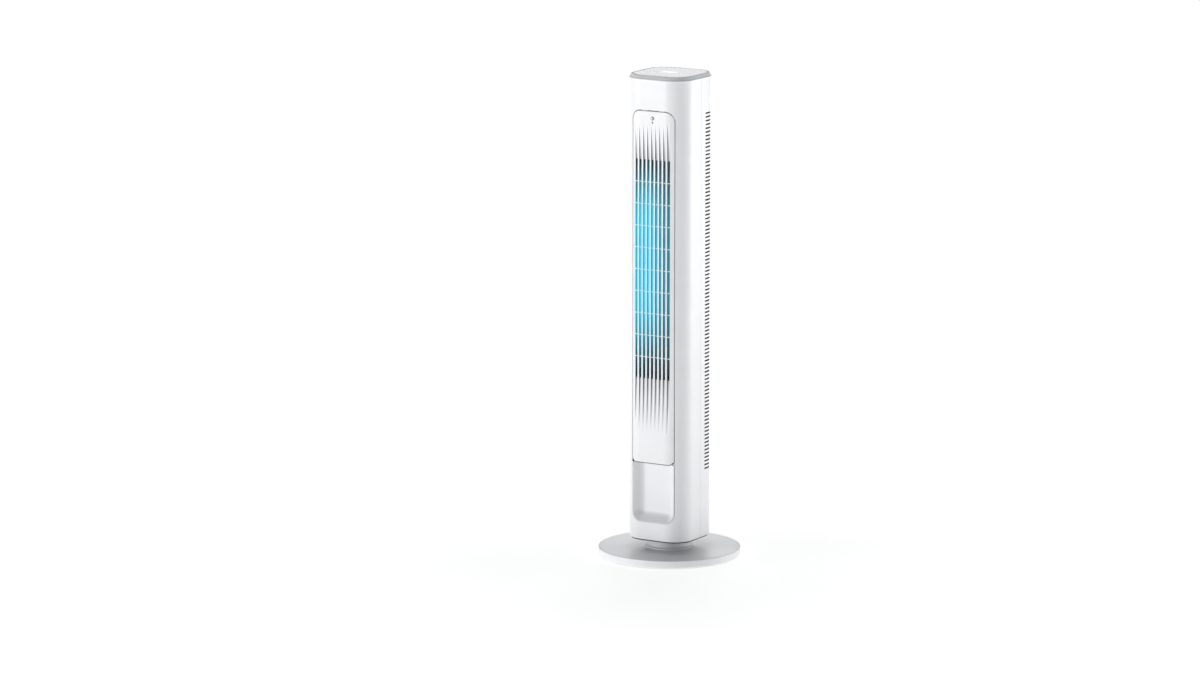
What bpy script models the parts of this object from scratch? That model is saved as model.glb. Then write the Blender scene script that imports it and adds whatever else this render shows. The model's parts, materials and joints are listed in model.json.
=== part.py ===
"""Tower fan: a slim square column with round corners that swings on a round base.

Metres, +Z up. The front faces -Y. The origin is the middle of the base, on the floor.
"""

import math

import bmesh
import bpy
from mathutils import Matrix, Vector

# ---------------------------------------------------------------- driving dimensions

TOUCH = 0.0003  # gap between two pieces that bear on each other
FIT = 0.0007  # visible gap round a panel in its opening
PLAY = 0.0004  # gap round what turns in a hole
OVERLAP = 0.001  # how far joined shapes sink into each other and cutters pass a face
REACH = 0.01  # how far a cutter stands out into open space

TOTAL_HEIGHT = 1.016
COLUMN_WIDTH = 0.1447
COLUMN_CORNER = 0.0437
COLUMN_GAP = 0.0245  # height of the open gap between base and column
SHELL_WALL = 0.0025
SEAM_Y = 0.003  # where the front and rear shells meet

BASE_RADIUS = 0.149
BASE_TOP = 0.018
BASE_WALL = 0.0025
BASE_EDGE = 0.0035  # rounding of the base's upper edge
BASE_BEVEL = 0.0017  # bevel of its lower edge
FOOT_HEIGHT = 0.0022
FOOT_RADIUS = 0.009
FOOT_COUNT = 6
FOOT_INSET = 0.019  # from the base's edge to a foot's centre
FOOT_EDGE = 0.0006
TRAY_THICK = 0.002
BALLAST_THICK = 0.008
BALLAST_INNER = 0.032
BALLAST_OUTER = 0.096
BASE_SCREW_CIRCLE = 0.106

NECK_RADIUS = 0.0465
NECK_WALL = 0.003
NECK_FLANGE = 0.052
NECK_FILLET = 0.0015
SPINDLE_RADIUS = 0.0155
SPINDLE_BORE = 0.0105
SPINDLE_FLANGE = 0.026
SPINDLE_END = 0.003  # how far the spindle comes out of its nut
SLIDE_THICK = 0.0015
SLIDE_PLAY = 0.002  # room between the slide ring and the spindle
WASHER_WIDTH = 0.0062
WASHER_THICK = 0.001
NUT_WIDTH = 0.005  # least wall of the nut, at its flats
NUT_HEIGHT = 0.006
TURNTABLE_THICK = 0.0065
TURNTABLE_DROP = 0.0025  # how far the turntable reaches below the shells
NECK_FLANGE_THICK = 0.0025

GEAR_MODULE = 0.001
RING_TEETH = 60
PINION_TEETH = 15
GEAR_THICK = 0.0055
GEAR_BACKLASH = 0.00025
GEAR_SPREAD = 0.0001  # added to the distance between the gears' axes
RING_CLEARANCE = 0.0005  # between the ring gear and the turntable
PINION_STUB_RADIUS = 0.0025
PINION_INSET = 0.0002  # how much the pinion is set back from the ring gear's faces
TOOTH_TIP = 0.9  # modules from the pitch circle out to a tooth's tip
TOOTH_ROOT = 1.15  # modules from the pitch circle in to its root
PRESSURE_ANGLE = math.radians(20)

CAP_HEIGHT = 0.008
CAP_SEAM = 0.0004  # gap between the cap's lip and the shells
CAP_EDGE = 0.0012  # height of the bevel above the cap's lower edge
CAP_LIP = 0.002  # how far the cap's lower edge stands out past the column
CAP_TAPER = 0.004  # how much narrower the cap's top is than its lower edge
CAP_WALL = 0.0025
CAP_PLUG = 0.007  # depth of the rim that plugs into the shells
TOUCH_PANEL_MARGIN = 0.0055
TOUCH_PANEL_THICK = 0.0009
DISPLAY_WIDTH = 0.036
DISPLAY_DEPTH = 0.016
BOARD_THICK = 0.0016
BOARD_MARGIN = 0.010  # from the touch panel's edge to the board's
POWER_HALF = 0.032  # half the power board's width
POWER_LOW = 0.030  # from the front opening's lower edge to the power board
POWER_HIGH = 0.012  # from the power board to the grille's lip
SPACER = 0.004
SPACER_INSET = 0.005
TRANSFORMER = (0.022, 0.018)  # width and height above the board
CAPACITOR = (0.014, 0.012)
COMPONENT_INSET = 0.008

PANEL_SIDE_MARGIN = 0.02165  # from the column's side to the edge of the front opening
PANEL_TOP_MARGIN = 0.0626  # from the shells' top to the front opening
PANEL_BOTTOM_MARGIN = 0.0383
PANEL_CORNER = 0.021
OPENING_DEPTH = 0.004  # how far the opening's cut goes past the shell's wall
RECESS_HEIGHT = 0.1242
RECESS_DEPTH = 0.0218
RECESS_SLOPE = 0.0125  # how far the recess's walls lean in from rim to floor
RECESS_WALL = 0.0022
RECESS_LEAST_CORNER = 0.004
RECESS_TOP_CORNER = 0.003
TRAY_TOP_CORNER = 0.001
LIP_CORNER = 0.011
LIP_POCKET = 0.0175  # how far the recess reaches up behind the grille's lip

GRILLE_THICK = 0.005
SLOT_PITCH = 0.00955
SLOT_WIDTH = 0.0058
OUTLET_MARGIN = 0.0095  # from the grille's edge to its first slot
OUTLET_TOP_MARGIN = 0.1015  # from the grille's top to the slots
OUTLET_BOTTOM_MARGIN = 0.179
FLUTE_UP = 0.073
FLUTE_DOWN = 0.112
FLUTE_DEPTH = 0.0038
TIE_PITCH = 0.046
TIE_HEIGHT = 0.0016
TIE_DEPTH = 0.002
TIE_SETBACK = 0.00235
HOOK_WIDTH = 0.012
HOOK_SPACING = 0.04
HOOK_HEIGHT = 0.006
HOOK_ROOT = 0.003
HOOK_THICK = 0.002
HINGE_SETBACK = 0.0008  # from the column's front face to the grille's tilt axis
IR_RADIUS = 0.004
IR_BELOW_TOP = 0.0149
LENS_RADIUS = 0.0018
LENS_BELOW_TOP = 0.0235
LENS_SETBACK = 0.0002
RECEIVER_SIZE = 0.0075
RECEIVER_DEPTH = 0.0045
FRAME_THICK = 0.0025
WINDOW_MARGIN = 0.002  # from the outlet slots to the frame's window at the sides
WINDOW_END_MARGIN = 0.006

VENT_START_Y = 0.020
VENT_BOTTOM = 0.1425  # from the column's bottom to the first vent
VENT_TOP = 0.0758  # from the shells' top to the last vent
VENT_PITCH = 0.0534
VENT_RIB = 0.0267
VENT_SPINE = 0.006
GRIP_WIDTH = 0.084
GRIP_HEIGHT = 0.045
GRIP_MOUTH = 0.026
GRIP_DEPTH = 0.0225
GRIP_BELOW_TOP = 0.0155
GRIP_WALL = 0.002

DUCT_PLATE = 0.003
FLOOR_DROP = 0.015  # from the outlet slots down to the duct floor
ROOF_RISE = 0.010  # from the outlet slots up to the duct roof
IMPELLER_Y = 0.004
IMPELLER_SPACE = 0.026  # from the impeller to the shells at its sides
IMPELLER_END_GAP = 0.007
IMPELLER_DISC = 0.0025
DISC_RIM = 0.003
SHAFT_END = 0.003  # how far the shaft comes out of the motor's lower end
SHAFT_GRIP = 0.002  # from a hub's inner end to the shaft or pin in it
IMPELLER_SECTIONS = 2
BLADE_COUNT = 16
BLADE_DEPTH = 0.0095
BLADE_THICK = 0.0011
BLADE_LEAD = math.radians(11)  # how far a blade's outer edge leads its inner edge
HUB_RADIUS = 0.012
HUB_STEP = 0.002  # how much smaller the hubs are than the duct floor's hole
HUB_DEPTH = 0.020
SHAFT_RADIUS = 0.004
PIN_RADIUS = 0.003
PIN_END = 0.002  # how far the pin comes out of the bush
DUCT_WALL = 0.002
VOLUTE_START = 0.0045  # gap between impeller and volute where it begins
VOLUTE_END = 0.016  # the same gap at the outlet
VOLUTE_FROM = math.radians(100)
VOLUTE_TO = math.radians(-38)
VOLUTE_STEPS = 16
TONGUE_GAP = 0.0055
TONGUE_ANGLE = math.radians(213)
TONGUE_NOSE = 0.004

MOTOR_SPACE = 0.03185  # from the motor to the shells at its sides
MOTOR_LENGTH = 0.046
MOTOR_DROP = 0.006  # from the duct floor's underside to the motor
MOTOR_SHOULDER = 0.006
MOTOR_END_SHARE = 0.6  # radius of the motor's ends over its own
CUP_HOLE_SHARE = 0.5  # radius of the hole in the cup's floor over the motor's
CUSHION_HEIGHT = 0.016
CUSHION_THICK = 0.003
CUP_WALL = 0.0015
CUP_CLEARANCE = 0.002  # between the motor's lower end and the cup's floor
CUP_FLANGE = 0.008
BUSH_RADIUS = 0.007
BUSH_LENGTH = 0.008
SEAT_RADIUS = 0.013
SEAT_LEDGE = 0.003
COLLAR_WALL = 0.003

NUT_CLEARANCE = 0.0025  # from the drive motor to the spindle nut's corners
DRIVE_RISE = 0.0042  # from the ring gear to the drive motor
DRIVE_LENGTH = 0.018
DRIVE_BORE = 0.0028
DRIVE_BORE_DEPTH = 0.006
DRIVE_EAR_SPACING = 0.035
DRIVE_EAR = 0.0035
DRIVE_EAR_THICK = 0.001
POST_RADIUS = 0.003

SCREW_SHANK = 0.0015
SCREW_HEAD = 0.003
SCREW_HEAD_FACE = 0.0024
SCREW_HEAD_THICK = 0.0016
SCREW_LENGTH = 0.012
BASE_SCREW_LENGTH = 0.0096
BOSS_RADIUS = 0.005
BOSS_INSET = 0.0042  # from the shells' inner corner to a foot screw
SHELL_BOSS_RADIUS = 0.0045
SHELL_SCREW_INSET = 0.01235  # from the column's side to the shell screws
SHELL_SCREW_LOW = 0.0675
SHELL_SCREW_HIGH = 0.033
SEAT_DEPTH = 0.003  # wall under a shell screw's head
GLAND_RADIUS = 0.0045
GLAND_BORE = 0.003
GLAND_LENGTH = 0.009
GLAND_SETBACK = 0.0004

BASE_STEPS = 48
ROUND_STEPS = 28
SMALL_STEPS = 10
CORNER_STEPS = 6

# ---------------------------------------------------------------- places worked out from them

column_half = COLUMN_WIDTH / 2
corner_centre = column_half - COLUMN_CORNER
inner_half = column_half - SHELL_WALL

tray_bottom = FOOT_HEIGHT + TOUCH
tray_top = tray_bottom + TRAY_THICK
column_bottom = BASE_TOP + COLUMN_GAP
turntable_bottom = column_bottom - TURNTABLE_DROP
turntable_top = turntable_bottom + TURNTABLE_THICK
slide_bottom = turntable_bottom - TOUCH - SLIDE_THICK
neck_top = slide_bottom - TOUCH
ring_bottom = turntable_top + RING_CLEARANCE
ring_top = ring_bottom + GEAR_THICK

shell_top = TOTAL_HEIGHT - CAP_HEIGHT - CAP_SEAM
panel_top = shell_top - PANEL_TOP_MARGIN
panel_bottom = column_bottom + PANEL_BOTTOM_MARGIN
panel_half = column_half - PANEL_SIDE_MARGIN
grille_half = panel_half - FIT
grille_top = panel_top - 2 * FIT
lip_z = panel_bottom + RECESS_HEIGHT
outlet_top = grille_top - OUTLET_TOP_MARGIN
outlet_bottom = lip_z + OUTLET_BOTTOM_MARGIN
slot_count = 2 * int((grille_half - OUTLET_MARGIN) / SLOT_PITCH) + 1
outlet_half = (slot_count - 1) / 2 * SLOT_PITCH + SLOT_WIDTH / 2

duct_floor_top = outlet_bottom - FLOOR_DROP
duct_roof_bottom = outlet_top + ROOF_RISE
impeller_bottom = duct_floor_top + IMPELLER_END_GAP
impeller_top = duct_roof_bottom - IMPELLER_END_GAP
impeller_radius = inner_half - IMPELLER_SPACE
blade_inner = impeller_radius - BLADE_DEPTH
motor_radius = inner_half - MOTOR_SPACE
motor_top = duct_floor_top - DUCT_PLATE - MOTOR_DROP
motor_bottom = motor_top - MOTOR_LENGTH
cup_inner = motor_radius + TOUCH + CUSHION_THICK + TOUCH

nut_corner = (SPINDLE_RADIUS + TOUCH + NUT_WIDTH / 2) / math.cos(math.pi / 6)
pinion_x = (RING_TEETH + PINION_TEETH) * GEAR_MODULE / 2 + GEAR_SPREAD
drive_radius = pinion_x - nut_corner - NUT_CLEARANCE
drive_bottom = ring_top + DRIVE_RISE
post_top = drive_bottom - TOUCH

vent_low = column_bottom + VENT_BOTTOM
vent_high = shell_top - VENT_TOP
grip_top = shell_top - GRIP_BELOW_TOP
shell_screw_x = column_half - SHELL_SCREW_INSET
shell_screw_heights = (column_bottom + SHELL_SCREW_LOW, shell_top - SHELL_SCREW_HIGH)
column_boss = corner_centre + (COLUMN_CORNER - SHELL_WALL - BOSS_INSET) * math.sqrt(0.5)


def surface_y(x, inset=0.0):
    """Y of the column's front surface at x, or of the surface that lies inset behind it."""
    radius = COLUMN_CORNER - inset
    past_flat = max(0.0, abs(x) - corner_centre)
    return -(corner_centre + math.sqrt(max(0.0, radius ** 2 - past_flat ** 2)))


# ---------------------------------------------------------------- scene and materials

def clear_scene():
    for old in list(bpy.data.objects):
        bpy.data.objects.remove(old, do_unlink=True)


def material(name, colour, roughness, metallic=0.0):
    made = bpy.data.materials.new(name)
    made.use_nodes = True
    shader = made.node_tree.nodes["Principled BSDF"]
    shader.inputs["Base Color"].default_value = (*colour, 1.0)
    shader.inputs["Roughness"].default_value = roughness
    shader.inputs["Metallic"].default_value = metallic
    made.diffuse_color = (*colour, 1.0)
    return made


clear_scene()
WHITE = material("white_plastic", (0.88, 0.89, 0.90), 0.42)
GREY_TOP = material("grey_cap_plastic", (0.72, 0.74, 0.76), 0.38)
PANEL = material("touch_panel_gloss", (0.70, 0.73, 0.75), 0.22)
DISPLAY = material("display_lens", (0.82, 0.86, 0.88), 0.15)
DARK = material("dark_plastic", (0.035, 0.036, 0.04), 0.5)
INNER = material("duct_plastic", (0.30, 0.62, 0.72), 0.5)
IMPELLER_BLUE = material("impeller_plastic", (0.22, 0.52, 0.62), 0.45)
RUBBER = material("rubber", (0.04, 0.04, 0.042), 0.85)
STEEL = material("bright_steel", (0.62, 0.62, 0.64), 0.32, 1.0)
SHEET_STEEL = material("zinc_sheet", (0.55, 0.56, 0.58), 0.42, 1.0)
BRONZE = material("sintered_bronze", (0.55, 0.38, 0.20), 0.45, 1.0)
ACETAL = material("acetal", (0.80, 0.80, 0.77), 0.4)
BOARD_GREEN = material("circuit_board", (0.03, 0.20, 0.10), 0.5)
SMOKED = material("smoked_lens", (0.10, 0.11, 0.12), 0.15)

# ---------------------------------------------------------------- shapes

AXES = {
    "Z": lambda a, b, c: (a, b, c),
    "Y": lambda a, b, c: (a, c, b),
    "X": lambda a, b, c: (c, a, b),
}


def mesh_object(name, points, faces, look, smooth=False):
    """One object from points and faces, with its faces turned outwards."""
    mesh = bpy.data.meshes.new(name)
    mesh.from_pydata(points, [], faces)
    shape = bmesh.new()
    shape.from_mesh(mesh)
    bmesh.ops.recalc_face_normals(shape, faces=shape.faces)
    shape.to_mesh(mesh)
    shape.free()
    if smooth:
        mesh.shade_smooth()
        mesh.set_sharp_from_angle(angle=math.radians(35))
    made = bpy.data.objects.new(name, mesh)
    if look is not None:
        mesh.materials.append(look)
    bpy.context.scene.collection.objects.link(made)
    return made


def stack_loops(loops, closed=False):
    """Points and faces that join loops of equal length, with end faces unless closed."""
    count = len(loops[0])
    points = [point for loop in loops for point in loop]
    faces = []
    last = len(loops) if closed else len(loops) - 1
    for row in range(last):
        low = row * count
        high = (row + 1) % len(loops) * count
        for i in range(count):
            j = (i + 1) % count
            faces.append((low + i, low + j, high + j, high + i))
    if not closed:
        faces.append(tuple(range(count)))
        faces.append(tuple(range(len(points) - count, len(points))))
    return points, faces


def prism(name, outline, low, high, look=None, axis="Z", smooth=False):
    """Outline pushed along an axis: (x, y) along Z, (x, z) along Y, or (y, z) along X."""
    place = AXES[axis]
    loops = [[place(a, b, level) for a, b in outline] for level in (low, high)]
    return mesh_object(name, *stack_loops(loops), look, smooth)


def prisms(name, outlines, low, high, look=None, axis="Z"):
    """Several separate prisms of one height in one object."""
    place = AXES[axis]
    points = []
    faces = []
    for outline in outlines:
        loops = [[place(a, b, level) for a, b in outline] for level in (low, high)]
        new_points, new_faces = stack_loops(loops)
        faces.extend(tuple(len(points) + index for index in face) for face in new_faces)
        points.extend(new_points)
    return mesh_object(name, points, faces, look)


def boxes(name, corners, look=None):
    """Separate boxes in one object, each given by its low and high corner."""
    points = []
    faces = []
    for low, high in corners:
        rectangle = ((low[0], low[1]), (high[0], low[1]), (high[0], high[1]), (low[0], high[1]))
        loops = [[(x, y, z) for x, y in rectangle] for z in (low[2], high[2])]
        new_points, new_faces = stack_loops(loops)
        faces.extend(tuple(len(points) + index for index in face) for face in new_faces)
        points.extend(new_points)
    return mesh_object(name, points, faces, look)


def turned(name, profile, look=None, centre=(0.0, 0.0), axis="Z", steps=ROUND_STEPS):
    """Closed profile of (radius, height) turned round an axis through centre."""
    return turned_group(name, profile, [centre], look, axis, steps)


def turned_group(name, profile, centres, look=None, axis="Z", steps=SMALL_STEPS):
    """Equal turned solids round parallel axes, all in one object."""
    place = AXES[axis]
    points = []
    faces = []
    for centre in centres:
        rows = []
        for radius, height in profile:
            count = 1 if radius == 0.0 else steps
            rows.append((len(points), count))
            for i in range(count):
                angle = 2 * math.pi * (i + 0.5) / steps
                a = centre[0] + radius * math.cos(angle)
                b = centre[1] + radius * math.sin(angle)
                points.append(place(a, b, height))
        for row, (low, low_count) in enumerate(rows):
            high, high_count = rows[(row + 1) % len(rows)]
            for i in range(steps):
                j = (i + 1) % steps
                corners = [low + i % low_count, low + j % low_count]
                corners += [high + j % high_count, high + i % high_count]
                face = tuple(dict.fromkeys(corners))
                if len(face) > 2:
                    faces.append(face)
    return mesh_object(name, points, faces, look, smooth=True)


def arc(centre, radius, start, end, steps):
    """Points of an arc from start to end, in degrees."""
    angles = [math.radians(start + (end - start) * i / steps) for i in range(steps + 1)]
    return [(centre[0] + radius * math.cos(t), centre[1] + radius * math.sin(t)) for t in angles]


def rounded_rectangle(low, high, low_corner, high_corner):
    """Outline of a rectangle with one corner radius below and one above."""
    steps = CORNER_STEPS
    lower, upper = low_corner, high_corner
    outline = arc((high[0] - lower, low[1] + lower), lower, -90, 0, steps)
    outline += arc((high[0] - upper, high[1] - upper), upper, 0, 90, steps)
    outline += arc((low[0] + upper, high[1] - upper), upper, 90, 180, steps)
    outline += arc((low[0] + lower, low[1] + lower), lower, 180, 270, steps)
    return outline


def column_outline(half):
    """The column's outline, grown or shrunk evenly so that it reaches half to each side."""
    corner = COLUMN_CORNER + half - column_half
    return rounded_rectangle((-half, -half), (half, half), corner, corner)


def column_loft(name, rings, look=None):
    """Solid through column outlines, each given as (half, z)."""
    loops = [[(x, y, z) for x, y in column_outline(half)] for half, z in rings]
    return mesh_object(name, *stack_loops(loops), look, smooth=True)


def shell_outline(end_y):
    """Cross-section of the front shell: a U that is open at the back and ends at end_y."""
    outline = []
    for half in (column_half, inner_half):
        corner = COLUMN_CORNER + half - column_half
        centre = half - corner
        run = [(-half, end_y)]
        run += arc((-centre, -centre), corner, 180, 270, CORNER_STEPS)
        run += arc((centre, -centre), corner, 270, 360, CORNER_STEPS)
        run.append((half, end_y))
        outline += run if half == column_half else run[::-1]
    return outline


def front_arc(inset, half):
    """Points on the column's front surface, inset behind it, from -half to half."""
    radius = COLUMN_CORNER - inset
    reach = math.degrees(math.asin(min(1.0, (half - corner_centre) / radius)))
    run = arc((-corner_centre, -corner_centre), radius, 270 - reach, 270, CORNER_STEPS)
    run += arc((corner_centre, -corner_centre), radius, 270, 270 + reach, CORNER_STEPS)
    return run


def front_slab(inset, depth, half):
    """Outline of a slab that follows the column's front surface."""
    return front_arc(inset, half) + front_arc(inset + depth, half)[::-1]


def strip(path, thickness):
    """Outline of a strip of even thickness along a path."""
    left = []
    right = []
    for i, (x, y) in enumerate(path):
        before = path[max(0, i - 1)]
        after = path[min(len(path) - 1, i + 1)]
        along = Vector((after[0] - before[0], after[1] - before[1])).normalized()
        side = Vector((-along.y, along.x)) * thickness / 2
        left.append((x + side.x, y + side.y))
        right.append((x - side.x, y - side.y))
    return left + right[::-1]


def combine(target, tool, operation, solver="EXACT"):
    """Boolean of target with a tool shape, which is then left out of the model."""
    step = target.modifiers.new(tool.name, "BOOLEAN")
    step.object = tool
    step.operation = operation
    step.solver = solver
    tool.hide_render = True
    tool.display_type = "WIRE"


def cut(target, tool, solver="EXACT"):
    combine(target, tool, "DIFFERENCE", solver)


def add(target, tool, solver="EXACT"):
    combine(target, tool, "UNION", solver)


def keep(target, tool):
    combine(target, tool, "INTERSECT")


def cylinder_profile(radius, low, high):
    return [(0.0, low), (radius, low), (radius, high), (0.0, high)]


def ring_profile(inner, outer, low, high):
    return [(outer, high), (inner, high), (inner, low), (outer, low)]


def screw(name, centre, head_end, length, direction, axis="Z"):
    """Screw whose head's outer face is at head_end and whose shank points along direction."""
    seat = head_end + direction * SCREW_HEAD_THICK
    tip = seat + direction * length
    profile = [
        (0.0, head_end),
        (SCREW_HEAD_FACE, head_end),
        (SCREW_HEAD, seat),
        (SCREW_SHANK, seat),
        (SCREW_SHANK, tip),
        (0.0, tip),
    ]
    return turned(name, profile, STEEL, centre, axis, SMALL_STEPS)


# ---------------------------------------------------------------- base

def foot_places():
    circle = BASE_RADIUS - FOOT_INSET
    for i in range(FOOT_COUNT):
        angle = 2 * math.pi * (i + 0.5) / FOOT_COUNT
        yield circle * math.cos(angle), circle * math.sin(angle)


def base_screw_places():
    for i in range(4):
        angle = math.pi / 2 * i
        yield BASE_SCREW_CIRCLE * math.cos(angle), BASE_SCREW_CIRCLE * math.sin(angle)


def make_base_cover():
    ceiling = BASE_TOP - BASE_WALL
    inner_rim = BASE_RADIUS - BASE_WALL
    edge_centre = (BASE_RADIUS - BASE_EDGE, BASE_TOP - BASE_EDGE)
    profile = [(SPINDLE_BORE, BASE_TOP)]
    profile += arc(edge_centre, BASE_EDGE, 90, 0, 3)
    profile += [(BASE_RADIUS, FOOT_HEIGHT + BASE_BEVEL), (BASE_RADIUS - BASE_BEVEL, FOOT_HEIGHT)]
    profile.append((inner_rim, FOOT_HEIGHT))
    profile += arc(edge_centre, BASE_EDGE - BASE_WALL, 0, 90, 1)
    profile.append((SPINDLE_BORE, ceiling))
    cover = turned("base_cover", profile, WHITE, steps=BASE_STEPS)
    places = list(base_screw_places())
    boss = cylinder_profile(BOSS_RADIUS, tray_top + TOUCH, ceiling + OVERLAP)
    add(cover, turned_group("cover_bosses", boss, places))
    bore = cylinder_profile(SCREW_SHANK + TOUCH, tray_top - OVERLAP, ceiling - OVERLAP)
    cut(cover, turned_group("cover_bores", bore, places))
    mouth = cylinder_profile(GLAND_RADIUS + TOUCH, inner_rim - REACH, BASE_RADIUS + REACH)
    gland_centre = (0.0, gland_height())
    opening = turned("gland_mouth", mouth, centre=gland_centre, axis="Y", steps=SMALL_STEPS)
    cut(cover, opening, "MANIFOLD")
    return cover


def gland_height():
    """Height of the cord's entry, midway between the tray and the cover's upper face."""
    return (tray_top + BASE_TOP - BASE_WALL) / 2


def make_base_tray():
    radius = BASE_RADIUS - BASE_WALL - TOUCH
    profile = cylinder_profile(radius, tray_bottom, tray_top)
    tray = turned("base_tray", profile, DARK, steps=BASE_STEPS)
    hole = cylinder_profile(SCREW_SHANK + TOUCH, 0.0, tray_top + OVERLAP)
    cut(tray, turned_group("tray_holes", hole, list(base_screw_places())))
    return tray


def make_base():
    cover = make_base_cover()
    tray = make_base_tray()
    ballast_low = tray_top + TOUCH
    ballast = ring_profile(BALLAST_INNER, BALLAST_OUTER, ballast_low, ballast_low + BALLAST_THICK)
    pieces = [cover, tray, turned("ballast_plate", ballast, SHEET_STEEL)]
    foot = [
        (0.0, 0.0),
        (FOOT_RADIUS - FOOT_EDGE, 0.0),
        (FOOT_RADIUS, FOOT_EDGE),
        (FOOT_RADIUS, FOOT_HEIGHT),
        (0.0, FOOT_HEIGHT),
    ]
    for i, place in enumerate(foot_places()):
        pieces.append(turned(f"foot_{i + 1}", foot, RUBBER, place, steps=SMALL_STEPS))
    for i, place in enumerate(base_screw_places()):
        head_end = tray_bottom - TOUCH - SCREW_HEAD_THICK
        name = f"base_screw_{i + 1}"
        pieces.append(screw(name, place, head_end, BASE_SCREW_LENGTH, 1))
    flange_top = BASE_TOP + TOUCH + NECK_FLANGE_THICK
    neck = [
        (NECK_FLANGE, BASE_TOP + TOUCH),
        (NECK_FLANGE, flange_top),
        (NECK_RADIUS, flange_top + NECK_FILLET),
        (NECK_RADIUS, neck_top),
        (SPINDLE_RADIUS + TOUCH, neck_top),
        (SPINDLE_RADIUS + TOUCH, neck_top - NECK_WALL),
        (NECK_RADIUS - NECK_WALL, neck_top - NECK_WALL),
        (NECK_RADIUS - NECK_WALL, BASE_TOP + TOUCH),
    ]
    pieces.append(turned("neck", neck, GREY_TOP))
    washer_low = ring_top + TOUCH
    nut_low = washer_low + WASHER_THICK + TOUCH
    spindle_top = nut_low + NUT_HEIGHT + SPINDLE_END
    spindle = [
        (SPINDLE_BORE, spindle_top),
        (SPINDLE_BORE, BASE_TOP + TOUCH),
        (SPINDLE_FLANGE, BASE_TOP + TOUCH),
        (SPINDLE_FLANGE, flange_top),
        (SPINDLE_RADIUS, flange_top),
        (SPINDLE_RADIUS, spindle_top),
    ]
    pieces.append(turned("spindle", spindle, STEEL))
    slide_inner = SPINDLE_RADIUS + SLIDE_PLAY
    slide_outer = NECK_RADIUS - OVERLAP
    slide = ring_profile(slide_inner, slide_outer, slide_bottom, slide_bottom + SLIDE_THICK)
    pieces.append(turned("slide_ring", slide, ACETAL))
    clear = SPINDLE_RADIUS + TOUCH
    washer = ring_profile(clear, clear + WASHER_WIDTH, washer_low, washer_low + WASHER_THICK)
    pieces.append(turned("spindle_washer", washer, SHEET_STEEL))
    hexagon = arc((0.0, 0.0), nut_corner, 0, 300, 5)
    nut = prism("spindle_nut", hexagon, nut_low, nut_low + NUT_HEIGHT, STEEL)
    thread = cylinder_profile(clear, nut_low - OVERLAP, nut_low + NUT_HEIGHT + OVERLAP)
    cut(nut, turned("nut_bore", thread))
    pieces.append(nut)
    gland_end = BASE_RADIUS - GLAND_SETBACK
    gland = ring_profile(GLAND_BORE, GLAND_RADIUS, gland_end - GLAND_LENGTH, gland_end)
    centre = (0.0, gland_height())
    pieces.append(turned("cord_gland", gland, RUBBER, centre, "Y", SMALL_STEPS))
    pieces.append(make_ring_gear())
    return pieces


# ---------------------------------------------------------------- oscillation drive

def involute(angle):
    return math.tan(angle) - angle


def gear_outline(teeth, turn):
    """Involute gear of the shared module, with the middle of one tooth at angle turn."""
    pitch = teeth * GEAR_MODULE / 2
    base = pitch * math.cos(PRESSURE_ANGLE)
    tip = pitch + TOOTH_TIP * GEAR_MODULE
    root = pitch - TOOTH_ROOT * GEAR_MODULE
    half_tooth = (math.pi * GEAR_MODULE / 2 - GEAR_BACKLASH) / 2 / pitch
    start = max(base, root)
    outline = []
    for tooth in range(teeth):
        middle = turn + 2 * math.pi * tooth / teeth
        flank = []
        for radius in (start, tip):
            rise = involute(math.acos(min(1.0, base / radius)))
            flank.append((radius, half_tooth + involute(PRESSURE_ANGLE) - rise))
        if start == base:
            flank.insert(0, (root, flank[0][1]))
        for radius, width in flank:
            outline.append((radius * math.cos(middle - width), radius * math.sin(middle - width)))
        for radius, width in reversed(flank):
            outline.append((radius * math.cos(middle + width), radius * math.sin(middle + width)))
    return outline


def make_ring_gear():
    gear = prism("ring_gear", gear_outline(RING_TEETH, 0.0), ring_bottom, ring_top, ACETAL)
    bore = cylinder_profile(SPINDLE_RADIUS + TOUCH, ring_bottom - OVERLAP, ring_top + OVERLAP)
    cut(gear, turned("ring_gear_bore", bore))
    return gear


def make_pinion():
    """Pinion with its stub of output shaft; a gap between teeth faces the ring gear."""
    outline = [(pinion_x + x, y) for x, y in gear_outline(PINION_TEETH, 0.0)]
    low = ring_bottom + PINION_INSET
    pinion = prism("oscillation_pinion", outline, low, ring_top - PINION_INSET, ACETAL)
    stub = cylinder_profile(PINION_STUB_RADIUS, low + OVERLAP, drive_bottom + DRIVE_BORE_DEPTH - OVERLAP)
    add(pinion, turned("pinion_stub", stub, centre=(pinion_x, 0.0), steps=SMALL_STEPS))
    return pinion


def drive_ear_places():
    for side in (-1, 1):
        yield pinion_x, side * DRIVE_EAR_SPACING / 2


def make_oscillation_motor():
    centre = (pinion_x, 0.0)
    body = [
        (DRIVE_BORE, drive_bottom),
        (drive_radius, drive_bottom),
        (drive_radius, drive_bottom + DRIVE_LENGTH),
        (0.0, drive_bottom + DRIVE_LENGTH),
        (0.0, drive_bottom + DRIVE_BORE_DEPTH),
        (DRIVE_BORE, drive_bottom + DRIVE_BORE_DEPTH),
    ]
    motor = turned("oscillation_motor", body, SHEET_STEEL, centre, steps=32)
    near = drive_radius - DRIVE_EAR
    far = DRIVE_EAR_SPACING / 2 + DRIVE_EAR
    ears = []
    for low_y, high_y in ((-far, -near), (near, far)):
        low = (pinion_x - DRIVE_EAR, low_y, drive_bottom)
        ears.append((low, (pinion_x + DRIVE_EAR, high_y, drive_bottom + DRIVE_EAR_THICK)))
    add(motor, boxes("drive_ears", ears))
    return motor


# ---------------------------------------------------------------- column structure

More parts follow.
